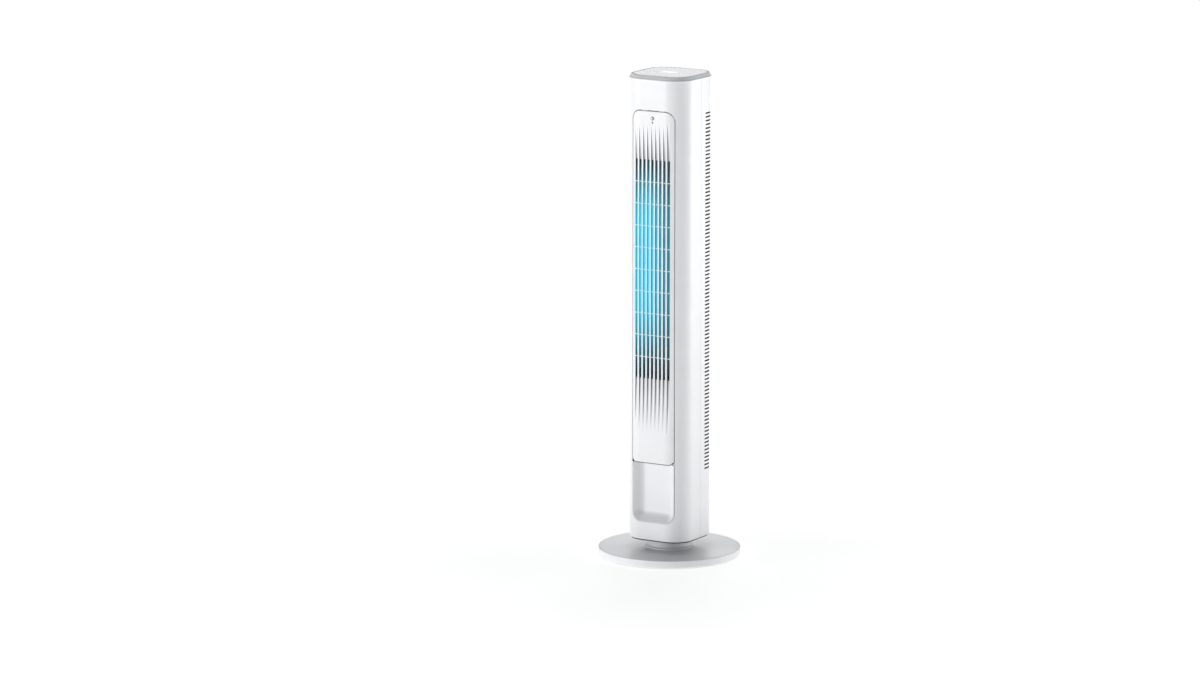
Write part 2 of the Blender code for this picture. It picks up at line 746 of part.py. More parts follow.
def make_turntable():
    rings = [(inner_half - TOUCH, turntable_bottom), (inner_half - TOUCH, turntable_top)]
    plate = column_loft("turntable", rings, DARK)
    low = turntable_bottom - REACH
    high = turntable_top + REACH
    hole = cylinder_profile(SPINDLE_RADIUS + PLAY, low, high)
    cut(plate, turned("turntable_hole", hole))
    post = cylinder_profile(POST_RADIUS, turntable_top - OVERLAP, post_top)
    add(plate, turned_group("drive_posts", post, list(drive_ear_places())))
    clear = cylinder_profile(SCREW_SHANK + TOUCH, low, high)
    cut(plate, turned_group("turntable_screw_holes", clear, list(column_boss_places())))
    sunk = cylinder_profile(SCREW_HEAD + TOUCH, low, turntable_bottom + SCREW_HEAD_THICK + TOUCH)
    cut(plate, turned_group("turntable_counterbores", sunk, list(column_boss_places())))
    return plate


def column_boss_places():
    for x_side in (-1, 1):
        for y_side in (-1, 1):
            yield x_side * column_boss, y_side * column_boss


def make_column_screws():
    pieces = []
    for i, place in enumerate(column_boss_places()):
        pieces.append(screw(f"column_screw_{i + 1}", place, turntable_bottom, SCREW_LENGTH, 1))
    return pieces


def add_column_bosses(shell, side, solver):
    """Screw bosses at the shell's foot; side is -1 for the front shell, 1 for the rear one."""
    places = [(x_side * column_boss, side * column_boss) for x_side in (-1, 1)]
    low = turntable_top + TOUCH
    boss = cylinder_profile(BOSS_RADIUS, low, low + SCREW_LENGTH)
    add(shell, turned_group(f"{shell.name}_foot_bosses", boss, places), solver)
    bore = cylinder_profile(SCREW_SHANK + TOUCH, low - OVERLAP, low + SCREW_LENGTH - 2 * OVERLAP)
    cut(shell, turned_group(f"{shell.name}_foot_bores", bore, places), solver)


def shell_screw_places():
    for x_side in (-1, 1):
        for height in shell_screw_heights:
            yield x_side * shell_screw_x, height


def make_front_shell():
    outline = shell_outline(SEAM_Y)
    shell = prism("front_shell", outline, column_bottom, shell_top, WHITE, smooth=True)
    add_column_bosses(shell, -1, "EXACT")
    front = surface_y(shell_screw_x, SHELL_WALL) - OVERLAP
    places = list(shell_screw_places())
    post = cylinder_profile(SHELL_BOSS_RADIUS, front, SEAM_Y)
    add(shell, turned_group("front_posts", post, places, axis="Y"))
    bore = cylinder_profile(SCREW_SHANK + TOUCH, SEAM_Y - SCREW_LENGTH, SEAM_Y + OVERLAP)
    cut(shell, turned_group("front_bores", bore, places, axis="Y"))
    low = (-panel_half, panel_bottom)
    high = (panel_half, panel_top)
    opening = rounded_rectangle(low, high, PANEL_CORNER, PANEL_CORNER)
    back = surface_y(panel_half, SHELL_WALL) + OPENING_DEPTH
    cut(shell, prism("front_opening", opening, -column_half - REACH, back, axis="Y"))
    return shell


def vent_boxes():
    """Clear spaces between the rear shell's hoops, in two halves beside the spine."""
    rows = max(1, round((vent_high - vent_low) / VENT_PITCH))
    pitch = (vent_high - vent_low) / rows
    reach = column_half + REACH
    for row in range(rows):
        low = vent_low + row * pitch + VENT_RIB / 2
        high = vent_low + (row + 1) * pitch - VENT_RIB / 2
        for side in (-1, 1):
            x_range = sorted((side * VENT_SPINE / 2, side * reach))
            yield (x_range[0], VENT_START_Y, low), (x_range[1], reach, high)


def make_rear_shell():
    start = SEAM_Y + TOUCH
    outline = [(x, -y) for x, y in shell_outline(-start)][::-1]
    shell = prism("rear_shell", outline, column_bottom, shell_top, WHITE, smooth=True)
    add_column_bosses(shell, 1, "MANIFOLD")
    back = -surface_y(shell_screw_x, SHELL_WALL) + OVERLAP
    seat = start + SEAT_DEPTH
    places = list(shell_screw_places())
    boss = cylinder_profile(SHELL_BOSS_RADIUS, start, back)
    add(shell, turned_group("rear_bosses", boss, places, axis="Y"), "MANIFOLD")
    tunnel = cylinder_profile(SCREW_HEAD + TOUCH, seat, column_half + REACH)
    cut(shell, turned_group("rear_tunnels", tunnel, places, axis="Y"), "MANIFOLD")
    clear = cylinder_profile(SCREW_SHANK + TOUCH, start - OVERLAP, seat + OVERLAP)
    cut(shell, turned_group("rear_clearances", clear, places, axis="Y"), "MANIFOLD")
    cut(shell, boxes("vent_cutter", list(vent_boxes())), "MANIFOLD")
    add_grip_pocket(shell)
    return shell


def add_grip_pocket(shell):
    """Pocket for the hand at the top of the back; it reaches up behind the rear wall."""
    half = GRIP_WIDTH / 2
    low = grip_top - GRIP_HEIGHT
    floor = column_half - GRIP_DEPTH
    wall = GRIP_WALL
    inside = inner_half - OVERLAP / 2
    block = ((-half - wall, floor - wall, low - wall), (half + wall, inside + OVERLAP, grip_top + wall))
    add(shell, boxes("grip_block", [block]), "MANIFOLD")
    room = ((-half, floor, low), (half, inside, grip_top))
    cut(shell, boxes("grip_room", [room]), "MANIFOLD")
    mouth = ((-half, inside - 2 * OVERLAP, low), (half, column_half + REACH, low + GRIP_MOUTH))
    cut(shell, boxes("grip_mouth", [mouth]), "MANIFOLD")


def make_shell_screws():
    pieces = []
    head_end = SEAM_Y + TOUCH + SEAT_DEPTH + TOUCH + SCREW_HEAD_THICK
    for i, place in enumerate(shell_screw_places()):
        name = f"shell_screw_{i + 1}"
        pieces.append(screw(name, place, head_end, SCREW_LENGTH, -1, "Y"))
    return pieces


# ---------------------------------------------------------------- front grille and recess

def make_front_grille():
    slab = front_slab(0.0, GRILLE_THICK, grille_half)
    grille = prism("front_grille", slab, lip_z - REACH, grille_top + REACH, WHITE, smooth=True)
    low = (-grille_half, lip_z)
    high = (grille_half, grille_top)
    sheet = rounded_rectangle(low, high, LIP_CORNER, PANEL_CORNER - FIT)
    keep(grille, prism("grille_outline", sheet, -column_half - REACH, 0.0, axis="Y"))
    for i in range(slot_count):
        x = (i - (slot_count - 1) / 2) * SLOT_PITCH
        front = surface_y(x)
        floor = front + FLUTE_DEPTH
        out = front - REACH
        back = front + GRILLE_THICK + REACH
        profile = [
            (out, outlet_bottom - FLUTE_DOWN),
            (front, outlet_bottom - FLUTE_DOWN),
            (floor, outlet_bottom),
            (back, outlet_bottom),
            (back, outlet_top),
            (floor, outlet_top),
            (front, outlet_top + FLUTE_UP),
            (out, outlet_top + FLUTE_UP),
        ]
        low_x = x - SLOT_WIDTH / 2
        cut(grille, prism(f"slot_{i}", profile, low_x, low_x + SLOT_WIDTH, axis="X"))
    cells = max(1, round((outlet_top - outlet_bottom) / TIE_PITCH))
    spacing = (outlet_top - outlet_bottom) / cells
    tie_front = -column_half + TIE_SETBACK
    ties = []
    for i in range(1, cells):
        z = outlet_bottom + i * spacing
        low = (-outlet_half - OVERLAP, tie_front, z - TIE_HEIGHT / 2)
        ties.append((low, (outlet_half + OVERLAP, tie_front + TIE_DEPTH, z + TIE_HEIGHT / 2)))
    add(grille, boxes("ties", ties))
    hook_front = surface_y((HOOK_SPACING + HOOK_WIDTH) / 2, SHELL_WALL) + 2 * TOUCH
    hooks = []
    for side in (-1, 1):
        x = side * HOOK_SPACING / 2
        low = (x - HOOK_WIDTH / 2, hook_front, grille_top - HOOK_ROOT)
        hooks.append((low, (x + HOOK_WIDTH / 2, hook_front + HOOK_THICK, grille_top + HOOK_HEIGHT)))
    add(grille, boxes("hooks", hooks))
    for name, radius, drop in lens_places():
        hole = cylinder_profile(radius + TOUCH, -column_half - REACH, -column_half + REACH)
        centre = (0.0, grille_top - drop)
        cut(grille, turned(f"{name}_hole", hole, centre=centre, axis="Y", steps=24))
    return grille


def lens_places():
    yield "ir_window", IR_RADIUS, IR_BELOW_TOP
    yield "status_lens", LENS_RADIUS, LENS_BELOW_TOP


def make_lenses():
    """Two round lenses, each flush with the grille's face."""
    pieces = []
    for name, radius, drop in lens_places():
        face = -column_half + LENS_SETBACK
        body = cylinder_profile(radius, face, face + GRILLE_THICK)
        pieces.append(turned(name, body, SMOKED, (0.0, grille_top - drop), "Y", 24))
    return pieces


def make_outlet_frame():
    """Flat frame behind the grille, which bears on it with its side edges."""
    front = surface_y(grille_half, GRILLE_THICK) + TOUCH
    back = front + FRAME_THICK
    reach = math.sqrt((COLUMN_CORNER - SHELL_WALL) ** 2 - (-front - corner_centre) ** 2)
    half = corner_centre + reach - 2 * TOUCH
    low = lip_z + LIP_POCKET + 2 * RECESS_WALL
    high = panel_top + WINDOW_END_MARGIN
    plate = [(-half, low), (half, low), (half, high), (-half, high)]
    frame = prism("outlet_frame", plate, front, back, WHITE, axis="Y")
    window = ((-outlet_half - WINDOW_MARGIN, front - REACH, outlet_bottom - WINDOW_END_MARGIN),
              (outlet_half + WINDOW_MARGIN, back + REACH, outlet_top + WINDOW_END_MARGIN))
    cut(frame, boxes("outlet_window", [window]))
    return frame


def frustum(name, grow, floor_y, top_z):
    """Room of the recess: its walls lean in from the column's surface to the floor."""
    front_y = -column_half - REACH
    rim_y = surface_y(panel_half)
    lean = RECESS_SLOPE / (floor_of_recess() - rim_y)
    loops = []
    for y in (front_y, floor_y):
        inset = (y - rim_y) * lean - grow
        low = (-grille_half + RECESS_WALL + inset, panel_bottom + FIT + RECESS_WALL + inset)
        corner = max(RECESS_LEAST_CORNER, PANEL_CORNER - RECESS_WALL - inset)
        outline = rounded_rectangle(low, (-low[0], top_z), corner, RECESS_TOP_CORNER)
        loops.append([(x, y, z) for x, z in outline])
    return mesh_object(name, *stack_loops(loops), None)


def floor_of_recess():
    return -column_half + RECESS_DEPTH


def make_recess_tray():
    """Dished tray under the grille's lip, with a pocket for the fingertips behind the lip."""
    floor = floor_of_recess()
    back = floor + RECESS_WALL
    roof = lip_z + LIP_POCKET
    body = front_arc(0.0, grille_half) + [(grille_half, back), (-grille_half, back)]
    tray = prism("recess_tray", body, panel_bottom + FIT, lip_z - FIT, WHITE)
    behind = GRILLE_THICK + TOUCH
    upper = front_arc(behind, grille_half) + [(grille_half, back), (-grille_half, back)]
    add(tray, prism("tray_upper", upper, lip_z - FIT - OVERLAP, roof + RECESS_WALL))
    low = (-grille_half, panel_bottom + FIT)
    high = (grille_half, roof + 2 * RECESS_WALL)
    rim = rounded_rectangle(low, high, PANEL_CORNER - FIT, TRAY_TOP_CORNER)
    keep(tray, prism("tray_rim", rim, -column_half - REACH, 0.0, axis="Y"))
    keep(tray, frustum("tray_outside", RECESS_WALL, back + OVERLAP, roof + RECESS_WALL + REACH))
    cut(tray, frustum("tray_inside", 0.0, floor, roof))
    return tray


# ---------------------------------------------------------------- air duct, impeller and motor

def duct_plate(name, low, look):
    return column_loft(name, [(inner_half - TOUCH, low), (inner_half - TOUCH, low + DUCT_PLATE)], look)


def clear_of_front(plate, low):
    """Trims a plate's front edge so that it ends behind the outlet frame."""
    edge = surface_y(grille_half, GRILLE_THICK) + TOUCH + FRAME_THICK + TOUCH
    reach = column_half + REACH
    box = ((-reach, -reach, low - OVERLAP), (reach, edge, low + DUCT_PLATE + OVERLAP))
    cut(plate, boxes(f"{plate.name}_front", [box]))


def make_duct():
    axis = (0.0, IMPELLER_Y)
    floor_low = duct_floor_top - DUCT_PLATE
    floor = duct_plate("duct_floor", floor_low, WHITE)
    clear_of_front(floor, floor_low)
    hole = cylinder_profile(HUB_RADIUS, floor_low - OVERLAP, duct_floor_top + OVERLAP)
    cut(floor, turned("duct_floor_hole", hole, centre=axis))
    roof = duct_plate("duct_roof", duct_roof_bottom, WHITE)
    clear_of_front(roof, duct_roof_bottom)
    collar_inner = SEAT_RADIUS + TOUCH
    collar_outer = SEAT_RADIUS + COLLAR_WALL
    collar_top = bush_bottom() + BUSH_LENGTH
    collar = ring_profile(collar_inner, collar_outer, duct_roof_bottom + OVERLAP, collar_top)
    add(roof, turned("roof_collar", collar, centre=axis))
    ledge = SEAT_RADIUS - SEAT_LEDGE
    opening = cylinder_profile(ledge, duct_roof_bottom - OVERLAP, collar_top + OVERLAP)
    cut(roof, turned("roof_hole", opening, centre=axis))
    return [floor, roof, make_volute_wall(), make_vortex_tongue()]


def bush_bottom():
    return duct_roof_bottom + DUCT_PLATE + TOUCH


def duct_span():
    return duct_floor_top + TOUCH, duct_roof_bottom - TOUCH


def outlet_edge():
    """Where a duct wall meets the back of the outlet frame, on the right-hand side."""
    y = surface_y(grille_half, GRILLE_THICK) + TOUCH + FRAME_THICK + TOUCH
    return outlet_half + WINDOW_MARGIN + DUCT_WALL, y


def make_volute_wall():
    """Guide wall that winds away from the impeller, from the back round to the outlet."""
    path = []
    for i in range(VOLUTE_STEPS + 1):
        share = i / VOLUTE_STEPS
        radius = impeller_radius + VOLUTE_START + (VOLUTE_END - VOLUTE_START) * share
        angle = VOLUTE_FROM + (VOLUTE_TO - VOLUTE_FROM) * share
        path.append((radius * math.cos(angle), IMPELLER_Y + radius * math.sin(angle)))
    path.append(outlet_edge())
    return prism("volute_wall", strip(path, DUCT_WALL), *duct_span(), INNER, smooth=True)


def make_vortex_tongue():
    """Short wall on the other side, whose nose splits the flow close to the impeller."""
    radius = impeller_radius + TONGUE_GAP + DUCT_WALL
    edge_x, edge_y = outlet_edge()
    tip_x = radius * math.cos(TONGUE_ANGLE)
    tip_y = IMPELLER_Y + radius * math.sin(TONGUE_ANGLE)
    wall = -(inner_half - DUCT_WALL / 2 - 2 * TOUCH)
    path = [(-edge_x, edge_y), (tip_x - TONGUE_NOSE / 4, (edge_y + tip_y) / 2)]
    path += arc((tip_x - TONGUE_NOSE, tip_y - TONGUE_NOSE / 2), TONGUE_NOSE, 0, 90, 5)
    path += [(wall + 1.5 * TONGUE_NOSE, tip_y + 0.6 * TONGUE_NOSE), (wall, tip_y + TONGUE_NOSE)]
    return prism("vortex_tongue", strip(path, DUCT_WALL), *duct_span(), INNER, smooth=True)


def blade_outline(index):
    """One slanted blade between the impeller's inner and outer radius."""
    path = []
    for radius, lead in ((blade_inner, 0.0), (impeller_radius - 2 * TOUCH, BLADE_LEAD)):
        angle = 2 * math.pi * index / BLADE_COUNT + lead
        path.append((radius * math.cos(angle), IMPELLER_Y + radius * math.sin(angle)))
    return strip(path, BLADE_THICK)


def make_impeller():
    axis = (0.0, IMPELLER_Y)
    low_hub = [
        (impeller_radius, impeller_bottom),
        (impeller_radius, impeller_bottom + IMPELLER_DISC),
        (HUB_RADIUS - HUB_STEP, impeller_bottom + IMPELLER_DISC),
        (HUB_RADIUS - HUB_STEP, impeller_bottom + HUB_DEPTH),
        (SHAFT_RADIUS + TOUCH, impeller_bottom + HUB_DEPTH),
        (SHAFT_RADIUS + TOUCH, impeller_bottom),
    ]
    wheel = turned("impeller", low_hub, IMPELLER_BLUE, axis)
    outlines = [blade_outline(i) for i in range(BLADE_COUNT)]
    inset = IMPELLER_DISC / 3
    add(wheel, prisms("blades", outlines, impeller_bottom + inset, impeller_top - inset))
    top_hub = [
        (PIN_RADIUS + TOUCH, impeller_top),
        (PIN_RADIUS + TOUCH, impeller_top - HUB_DEPTH),
        (HUB_RADIUS - HUB_STEP, impeller_top - HUB_DEPTH),
        (HUB_RADIUS - HUB_STEP, impeller_top - IMPELLER_DISC),
        (impeller_radius, impeller_top - IMPELLER_DISC),
        (impeller_radius, impeller_top),
    ]
    add(wheel, turned("impeller_top_disc", top_hub, centre=axis))
    section = (impeller_top - impeller_bottom) / IMPELLER_SECTIONS
    for i in range(1, IMPELLER_SECTIONS):
        z = impeller_bottom + i * section
        half = IMPELLER_DISC / 2
        disc = ring_profile(blade_inner - DISC_RIM, impeller_radius, z - half, z + half)
        add(wheel, turned(f"impeller_disc_{i}", disc, centre=axis))
    shaft_top = impeller_bottom + HUB_DEPTH - SHAFT_GRIP
    shaft = cylinder_profile(SHAFT_RADIUS, motor_bottom - SHAFT_END, shaft_top)
    pin_top = bush_bottom() + BUSH_LENGTH + PIN_END
    pin = cylinder_profile(PIN_RADIUS, impeller_top - HUB_DEPTH + SHAFT_GRIP, pin_top)
    return [
        wheel,
        turned("motor_shaft", shaft, STEEL, axis, steps=24),
        turned("top_pin", pin, STEEL, axis, steps=24),
    ]


def make_motor():
    axis = (0.0, IMPELLER_Y)
    bore = SHAFT_RADIUS + PLAY
    motor = [
        (bore, motor_top),
        (bore, motor_bottom),
        (motor_radius * MOTOR_END_SHARE, motor_bottom),
        (motor_radius, motor_bottom + MOTOR_SHOULDER),
        (motor_radius, motor_top - MOTOR_SHOULDER),
        (motor_radius * MOTOR_END_SHARE, motor_top),
    ]
    cushion_inner = motor_radius + TOUCH
    cushion_outer = cushion_inner + CUSHION_THICK
    cushion_low = (motor_bottom + motor_top - CUSHION_HEIGHT) / 2
    cushion = ring_profile(cushion_inner, cushion_outer, cushion_low, cushion_low + CUSHION_HEIGHT)
    cup_top = duct_floor_top - DUCT_PLATE - TOUCH
    cup_outer = cup_inner + CUP_WALL
    cup_low = motor_bottom - CUP_CLEARANCE
    cup_hole = motor_radius * CUP_HOLE_SHARE
    cup = [
        (cup_inner, cup_low),
        (cup_hole, cup_low),
        (cup_hole, cup_low - CUP_WALL),
        (cup_outer, cup_low - CUP_WALL),
        (cup_outer, cup_top - CUP_WALL),
        (cup_outer + CUP_FLANGE, cup_top - CUP_WALL),
        (cup_outer + CUP_FLANGE, cup_top),
        (cup_inner, cup_top),
    ]
    bush_low = bush_bottom()
    bush = ring_profile(PIN_RADIUS + TOUCH, BUSH_RADIUS, bush_low, bush_low + BUSH_LENGTH)
    seat = ring_profile(BUSH_RADIUS + TOUCH, SEAT_RADIUS, bush_low, bush_low + BUSH_LENGTH)
    return [
        turned("fan_motor", motor, DARK, axis),
        turned("motor_cushion", cushion, RUBBER, axis),
        turned("motor_cup", cup, SHEET_STEEL, axis),
        turned("bearing_bush", bush, BRONZE, axis, steps=24),
        turned("bearing_seat", seat, RUBBER, axis, steps=32),
    ]


# ---------------------------------------------------------------- top and electronics

def make_top_cap():
    """Tapered lid whose lower edge stands out past the column and whose rim plugs into it."""
    lip_half = column_half + CAP_LIP
    lip = shell_top + CAP_SEAM
    plug = inner_half - TOUCH
    ceiling = TOTAL_HEIGHT - TOUCH_PANEL_THICK - TOUCH - CAP_WALL
    rings = [
        (lip_half - CAP_TAPER, TOTAL_HEIGHT),
        (lip_half - CAP_EDGE / 2, lip + CAP_EDGE),
        (lip_half, lip),
        (plug, lip),
        (plug, lip - CAP_PLUG),
        (plug - CAP_WALL, lip - CAP_PLUG),
        (plug - CAP_WALL, ceiling),
    ]
    cap = column_loft("top_cap", rings, GREY_TOP)
    seat = TOTAL_HEIGHT - TOUCH_PANEL_THICK - TOUCH
    reach = touch_half() + TOUCH
    cut(cap, column_loft("touch_seat", [(reach, seat), (reach, TOTAL_HEIGHT + REACH)]))
    return cap


def touch_half():
    return column_half + CAP_LIP - CAP_TAPER - TOUCH_PANEL_MARGIN


def make_top():
    cap = make_top_cap()
    low = TOTAL_HEIGHT - TOUCH_PANEL_THICK
    half = touch_half()
    panel = column_loft("touch_panel", [(half, low), (half, TOTAL_HEIGHT)], PANEL)
    width = DISPLAY_WIDTH / 2
    depth = DISPLAY_DEPTH / 2
    hole = ((-width, -depth, low - OVERLAP), (width, depth, TOTAL_HEIGHT + OVERLAP))
    cut(panel, boxes("display_hole", [hole]))
    lens_high = (width - TOUCH, depth - TOUCH, TOTAL_HEIGHT)
    lens = boxes("display_window", [((TOUCH - width, TOUCH - depth, low), lens_high)], DISPLAY)
    ceiling = low - TOUCH - CAP_WALL
    board_half = half - BOARD_MARGIN
    board_low = ceiling - TOUCH - BOARD_THICK
    rings = [(board_half, board_low), (board_half, board_low + BOARD_THICK)]
    return [cap, panel, lens, column_loft("control_board", rings, BOARD_GREEN)]


def make_power_board():
    """Circuit board on four spacers behind the recess tray, with its larger components."""
    spacer_low = floor_of_recess() + RECESS_WALL + TOUCH
    board_low = spacer_low + SPACER
    board_high = board_low + BOARD_THICK
    low = panel_bottom + POWER_LOW
    high = lip_z - POWER_HIGH
    outline = [(-POWER_HALF, low), (POWER_HALF, low), (POWER_HALF, high), (-POWER_HALF, high)]
    board = prism("power_board", outline, board_low, board_high, BOARD_GREEN, axis="Y")
    spacers = []
    radius = SPACER / 2
    sunk = board_low + BOARD_THICK / 3
    for x in (SPACER_INSET - POWER_HALF, POWER_HALF - SPACER_INSET):
        for z in (low + SPACER_INSET, high - SPACER_INSET):
            near = (x - radius, spacer_low, z - radius)
            spacers.append((near, (x + radius, sunk, z + radius)))
    add(board, boxes("board_spacers", spacers))
    middle = (low + high) / 2
    root = board_high - BOARD_THICK / 3
    width, rise = TRANSFORMER
    near = (-width, root, low + COMPONENT_INSET)
    transformer = (near, (0.0, board_high + rise, middle - COMPONENT_INSET / 2))
    width, rise = CAPACITOR
    near = (COMPONENT_INSET, root, middle + COMPONENT_INSET / 2)
    capacitor = (near, (COMPONENT_INSET + width, board_high + rise, high - 1.5 * COMPONENT_INSET))
    add(board, boxes("board_components", [transformer, capacitor]))
    return board


def make_ir_receiver():
    """Receiver block on the outlet frame, right behind the window in the grille."""
    high = surface_y(grille_half, GRILLE_THICK)
    z = grille_top - IR_BELOW_TOP
    half = RECEIVER_SIZE / 2
    corners = ((-half, high - RECEIVER_DEPTH, z - half), (half, high, z + half))
    return boxes("ir_receiver", [corners], DARK)


# ---------------------------------------------------------------- assembly

def pivot(name, place, pieces, parent=None):
    """Empty on a joint's axis that carries the pieces which move about it."""
    empty = bpy.data.objects.new(name, None)
    empty.empty_display_size = 0.03
    empty.matrix_world = Matrix.Translation(place)
    bpy.context.scene.collection.objects.link(empty)
    if parent is not None:
        empty.parent = parent
        empty.matrix_parent_inverse = Matrix.Translation(parent.matrix_world.translation).inverted()
    for piece in pieces:
        piece.parent = empty
        piece.matrix_parent_inverse = Matrix.Translation(place).inverted()
    return empty


def build():
    base = pivot("base_frame", Vector((0.0, 0.0, 0.0)), make_base())
    column_pieces = [make_turntable(), make_front_shell(), make_rear_shell()]
    column_pieces += make_column_screws() + make_shell_screws()
    column_pieces += [make_outlet_frame(), make_recess_tray(), make_oscillation_motor()]
    column_pieces += make_duct() + make_motor() + make_top()
    column_pieces += [make_power_board(), make_ir_receiver()]
    column = pivot("oscillation_axis", Vector((0.0, 0.0, column_bottom)), column_pieces, base)
    wheel_place = Vector((0.0, IMPELLER_Y, (impeller_bottom + impeller_top) / 2))
    pivot("impeller_axis", wheel_place, make_impeller(), column)
    pivot("pinion_axis", Vector((pinion_x, 0.0, ring_bottom)), [make_pinion()], column)
    hinge_place = Vector((0.0, -column_half + HINGE_SETBACK, grille_top))
    pivot("grille_hinge", hinge_place, [make_front_grille(), *make_lenses()], column)


build()
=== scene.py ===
"""Looks of the tower fan: fine casings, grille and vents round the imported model, with soft studio light."""

import json
import math

import bmesh
import bpy
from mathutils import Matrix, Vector


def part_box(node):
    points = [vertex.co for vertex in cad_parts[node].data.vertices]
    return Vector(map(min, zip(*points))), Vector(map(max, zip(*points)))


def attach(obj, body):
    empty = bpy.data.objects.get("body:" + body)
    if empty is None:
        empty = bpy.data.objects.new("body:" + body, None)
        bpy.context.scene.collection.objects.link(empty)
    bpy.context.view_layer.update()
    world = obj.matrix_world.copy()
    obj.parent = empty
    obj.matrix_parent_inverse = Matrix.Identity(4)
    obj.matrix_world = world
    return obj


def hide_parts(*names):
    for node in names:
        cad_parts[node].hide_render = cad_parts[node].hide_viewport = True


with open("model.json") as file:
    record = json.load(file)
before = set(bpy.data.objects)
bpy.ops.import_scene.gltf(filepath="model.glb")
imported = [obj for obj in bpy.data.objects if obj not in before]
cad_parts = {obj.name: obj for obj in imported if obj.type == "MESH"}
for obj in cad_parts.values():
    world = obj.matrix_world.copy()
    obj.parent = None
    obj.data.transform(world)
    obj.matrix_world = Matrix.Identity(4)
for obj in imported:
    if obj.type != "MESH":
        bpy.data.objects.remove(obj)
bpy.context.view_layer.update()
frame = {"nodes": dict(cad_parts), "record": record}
nodes = frame["nodes"]

# ---------------------------------------------------------------- sizes

COLUMN_CORNER = 0.0437  # radius of the column's upright corners
SHELL_WALL = 0.0025
GRILLE_THICK = 0.005
HOOK_HEIGHT = 0.006  # how far the grille's hooks reach above it
PANEL_GAP = 0.0007  # between the grille and its opening
PANEL_CORNER = 0.021
LIP_CORNER = 0.011
EDGE_CHAMFER = 0.0007  # lit edges on both sides of the groove round the grille
GROOVE_EXTRA = 0.0003  # how much the fine grille is slimmer than its opening allows
LIP_BEVEL = 2.6  # height of the lower lip's bevel over the other edges'
CORNER_STEPS = 14
TURN_STEPS = 128
SMALL_TURN = 40
FOLLOW_STEP = 0.004  # longest side of a cutter that follows the column's front

SLOT_COUNT = 9
SLOT_PITCH = 0.00955
SLOT_WIDTH = 0.0058
OUTLET_TOP_MARGIN = 0.1015  # from the grille's top down to the open part of the slots
OUTLET_BOTTOM_MARGIN = 0.179  # from its lower lip up to them
FLUTE_UP = 0.073  # how far the closed grooves run on above the slots
FLUTE_DOWN = 0.112
FLUTE_DEPTH = 0.0038
TIE_PITCH = 0.046
TIE_SETBACK = 0.0015
TIE_HALF = 0.0009
TIE_DEPTH = 0.0022

RECESS_DEPTH = 0.0218
RECESS_SLOPE = 0.0125  # how far its walls lean in from rim to floor
RECESS_RIM = 0.0012
RECESS_WALL = 0.0022
RECESS_FILLET = 0.007
LIP_POCKET = 0.0175  # room for the fingertips above the grille's lower edge

VENT_START_Y = 0.020
VENT_BOTTOM = 0.1425  # from the column's bottom to the first vent
VENT_TOP = 0.0758  # from the shells' top to the last vent
VENT_PITCH = 0.00786
VENT_HEIGHT = 0.0034
VENT_SPINE = 0.006
GRIP_HALF = 0.042
GRIP_HEIGHT = 0.045
GRIP_MOUTH = 0.026
GRIP_DEPTH = 0.0225
GRIP_BELOW_TOP = 0.0155
GRIP_WALL = 0.002
GRIP_CORNER = 0.007
SCREW_TUNNEL = 0.0033
SCREW_BOSS = 0.0045
SCREW_SEAT = 0.003
SCREW_MOUTH = 0.0012  # how much a tunnel's mouth is wider

LOOSE = 0.0003  # gap between pieces that sit in each other
OVERLAP = 0.001  # how far joined shapes sink into each other
REACH = 0.01  # how far a cutter stands out into open space

shell_low, shell_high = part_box("front_shell")
column_half = shell_high.x
column_bottom = shell_low.z
shell_top = shell_high.z
seam_y = shell_high.y
corner_centre = column_half - COLUMN_CORNER
inner_half = column_half - SHELL_WALL

grille_low, grille_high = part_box("front_grille")
grille_half = grille_high.x
grille_top = grille_high.z - HOOK_HEIGHT
lip_z = grille_low.z
outlet_top = grille_top - OUTLET_TOP_MARGIN
outlet_bottom = lip_z + OUTLET_BOTTOM_MARGIN
panel_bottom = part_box("recess_tray")[0].z - PANEL_GAP
panel_top = grille_top + 2 * PANEL_GAP
panel_half = grille_half + PANEL_GAP


# ---------------------------------------------------------------- materials

NOISE_CORE = (0.35, 0.65)  # where most of a noise pattern's values lie
CLOUD_SCALE = 22.0
GLOSS_SCALE = 260.0
GRAIN_SCALE = 2600.0
GRAIN_STRENGTH = 0.25
GRAIN_DEPTH = 0.00002
SATIN = (0.36, 0.46)  # roughness of the plain moulded plastics
GLOW_HALF = 0.047  # half of the painted glow's width
GLOW_FADE = 0.005  # width over which the painted glow fades out at its sides
INNER_SHIFT = 0.030  # how far left of a slot the surfaces lie that show through it; their painted glow is shifted by it


def new_material(name, roughness=0.4, metallic=0.0):
    made = bpy.data.materials.new(name)
    made.use_nodes = True
    tree = made.node_tree
    shader = tree.nodes["Principled BSDF"]
    shader.inputs["Roughness"].default_value = roughness
    shader.inputs["Metallic"].default_value = metallic
    coordinates = tree.nodes.new("ShaderNodeTexCoord")
    return made, tree, shader, coordinates.outputs["Object"]


def add_node(tree, kind, inputs, **settings):
    """A node with its settings, whose inputs are numbers, colours or other nodes' outputs."""
    node = tree.nodes.new(kind)
    for name, value in settings.items():
        setattr(node, name, value)
    for name, value in inputs.items():
        if isinstance(value, bpy.types.NodeSocket):
            tree.links.new(value, node.inputs[name])
        else:
            node.inputs[name].default_value = value
    return node


def ranged(tree, value, source, target=(0.0, 1.0), kind="SMOOTHSTEP"):
    """The value's run from source[0] to source[1], spread over the target."""
    made = add_node(tree, "ShaderNodeMapRange", {
        "Value": value, "From Min": source[0], "From Max": source[1],
        "To Min": target[0], "To Max": target[1]}, interpolation_type=kind)
    return made.outputs["Result"]


def product(tree, first, second):
    made = add_node(tree, "ShaderNodeMath", {0: first, 1: second}, operation="MULTIPLY")
    return made.outputs["Value"]


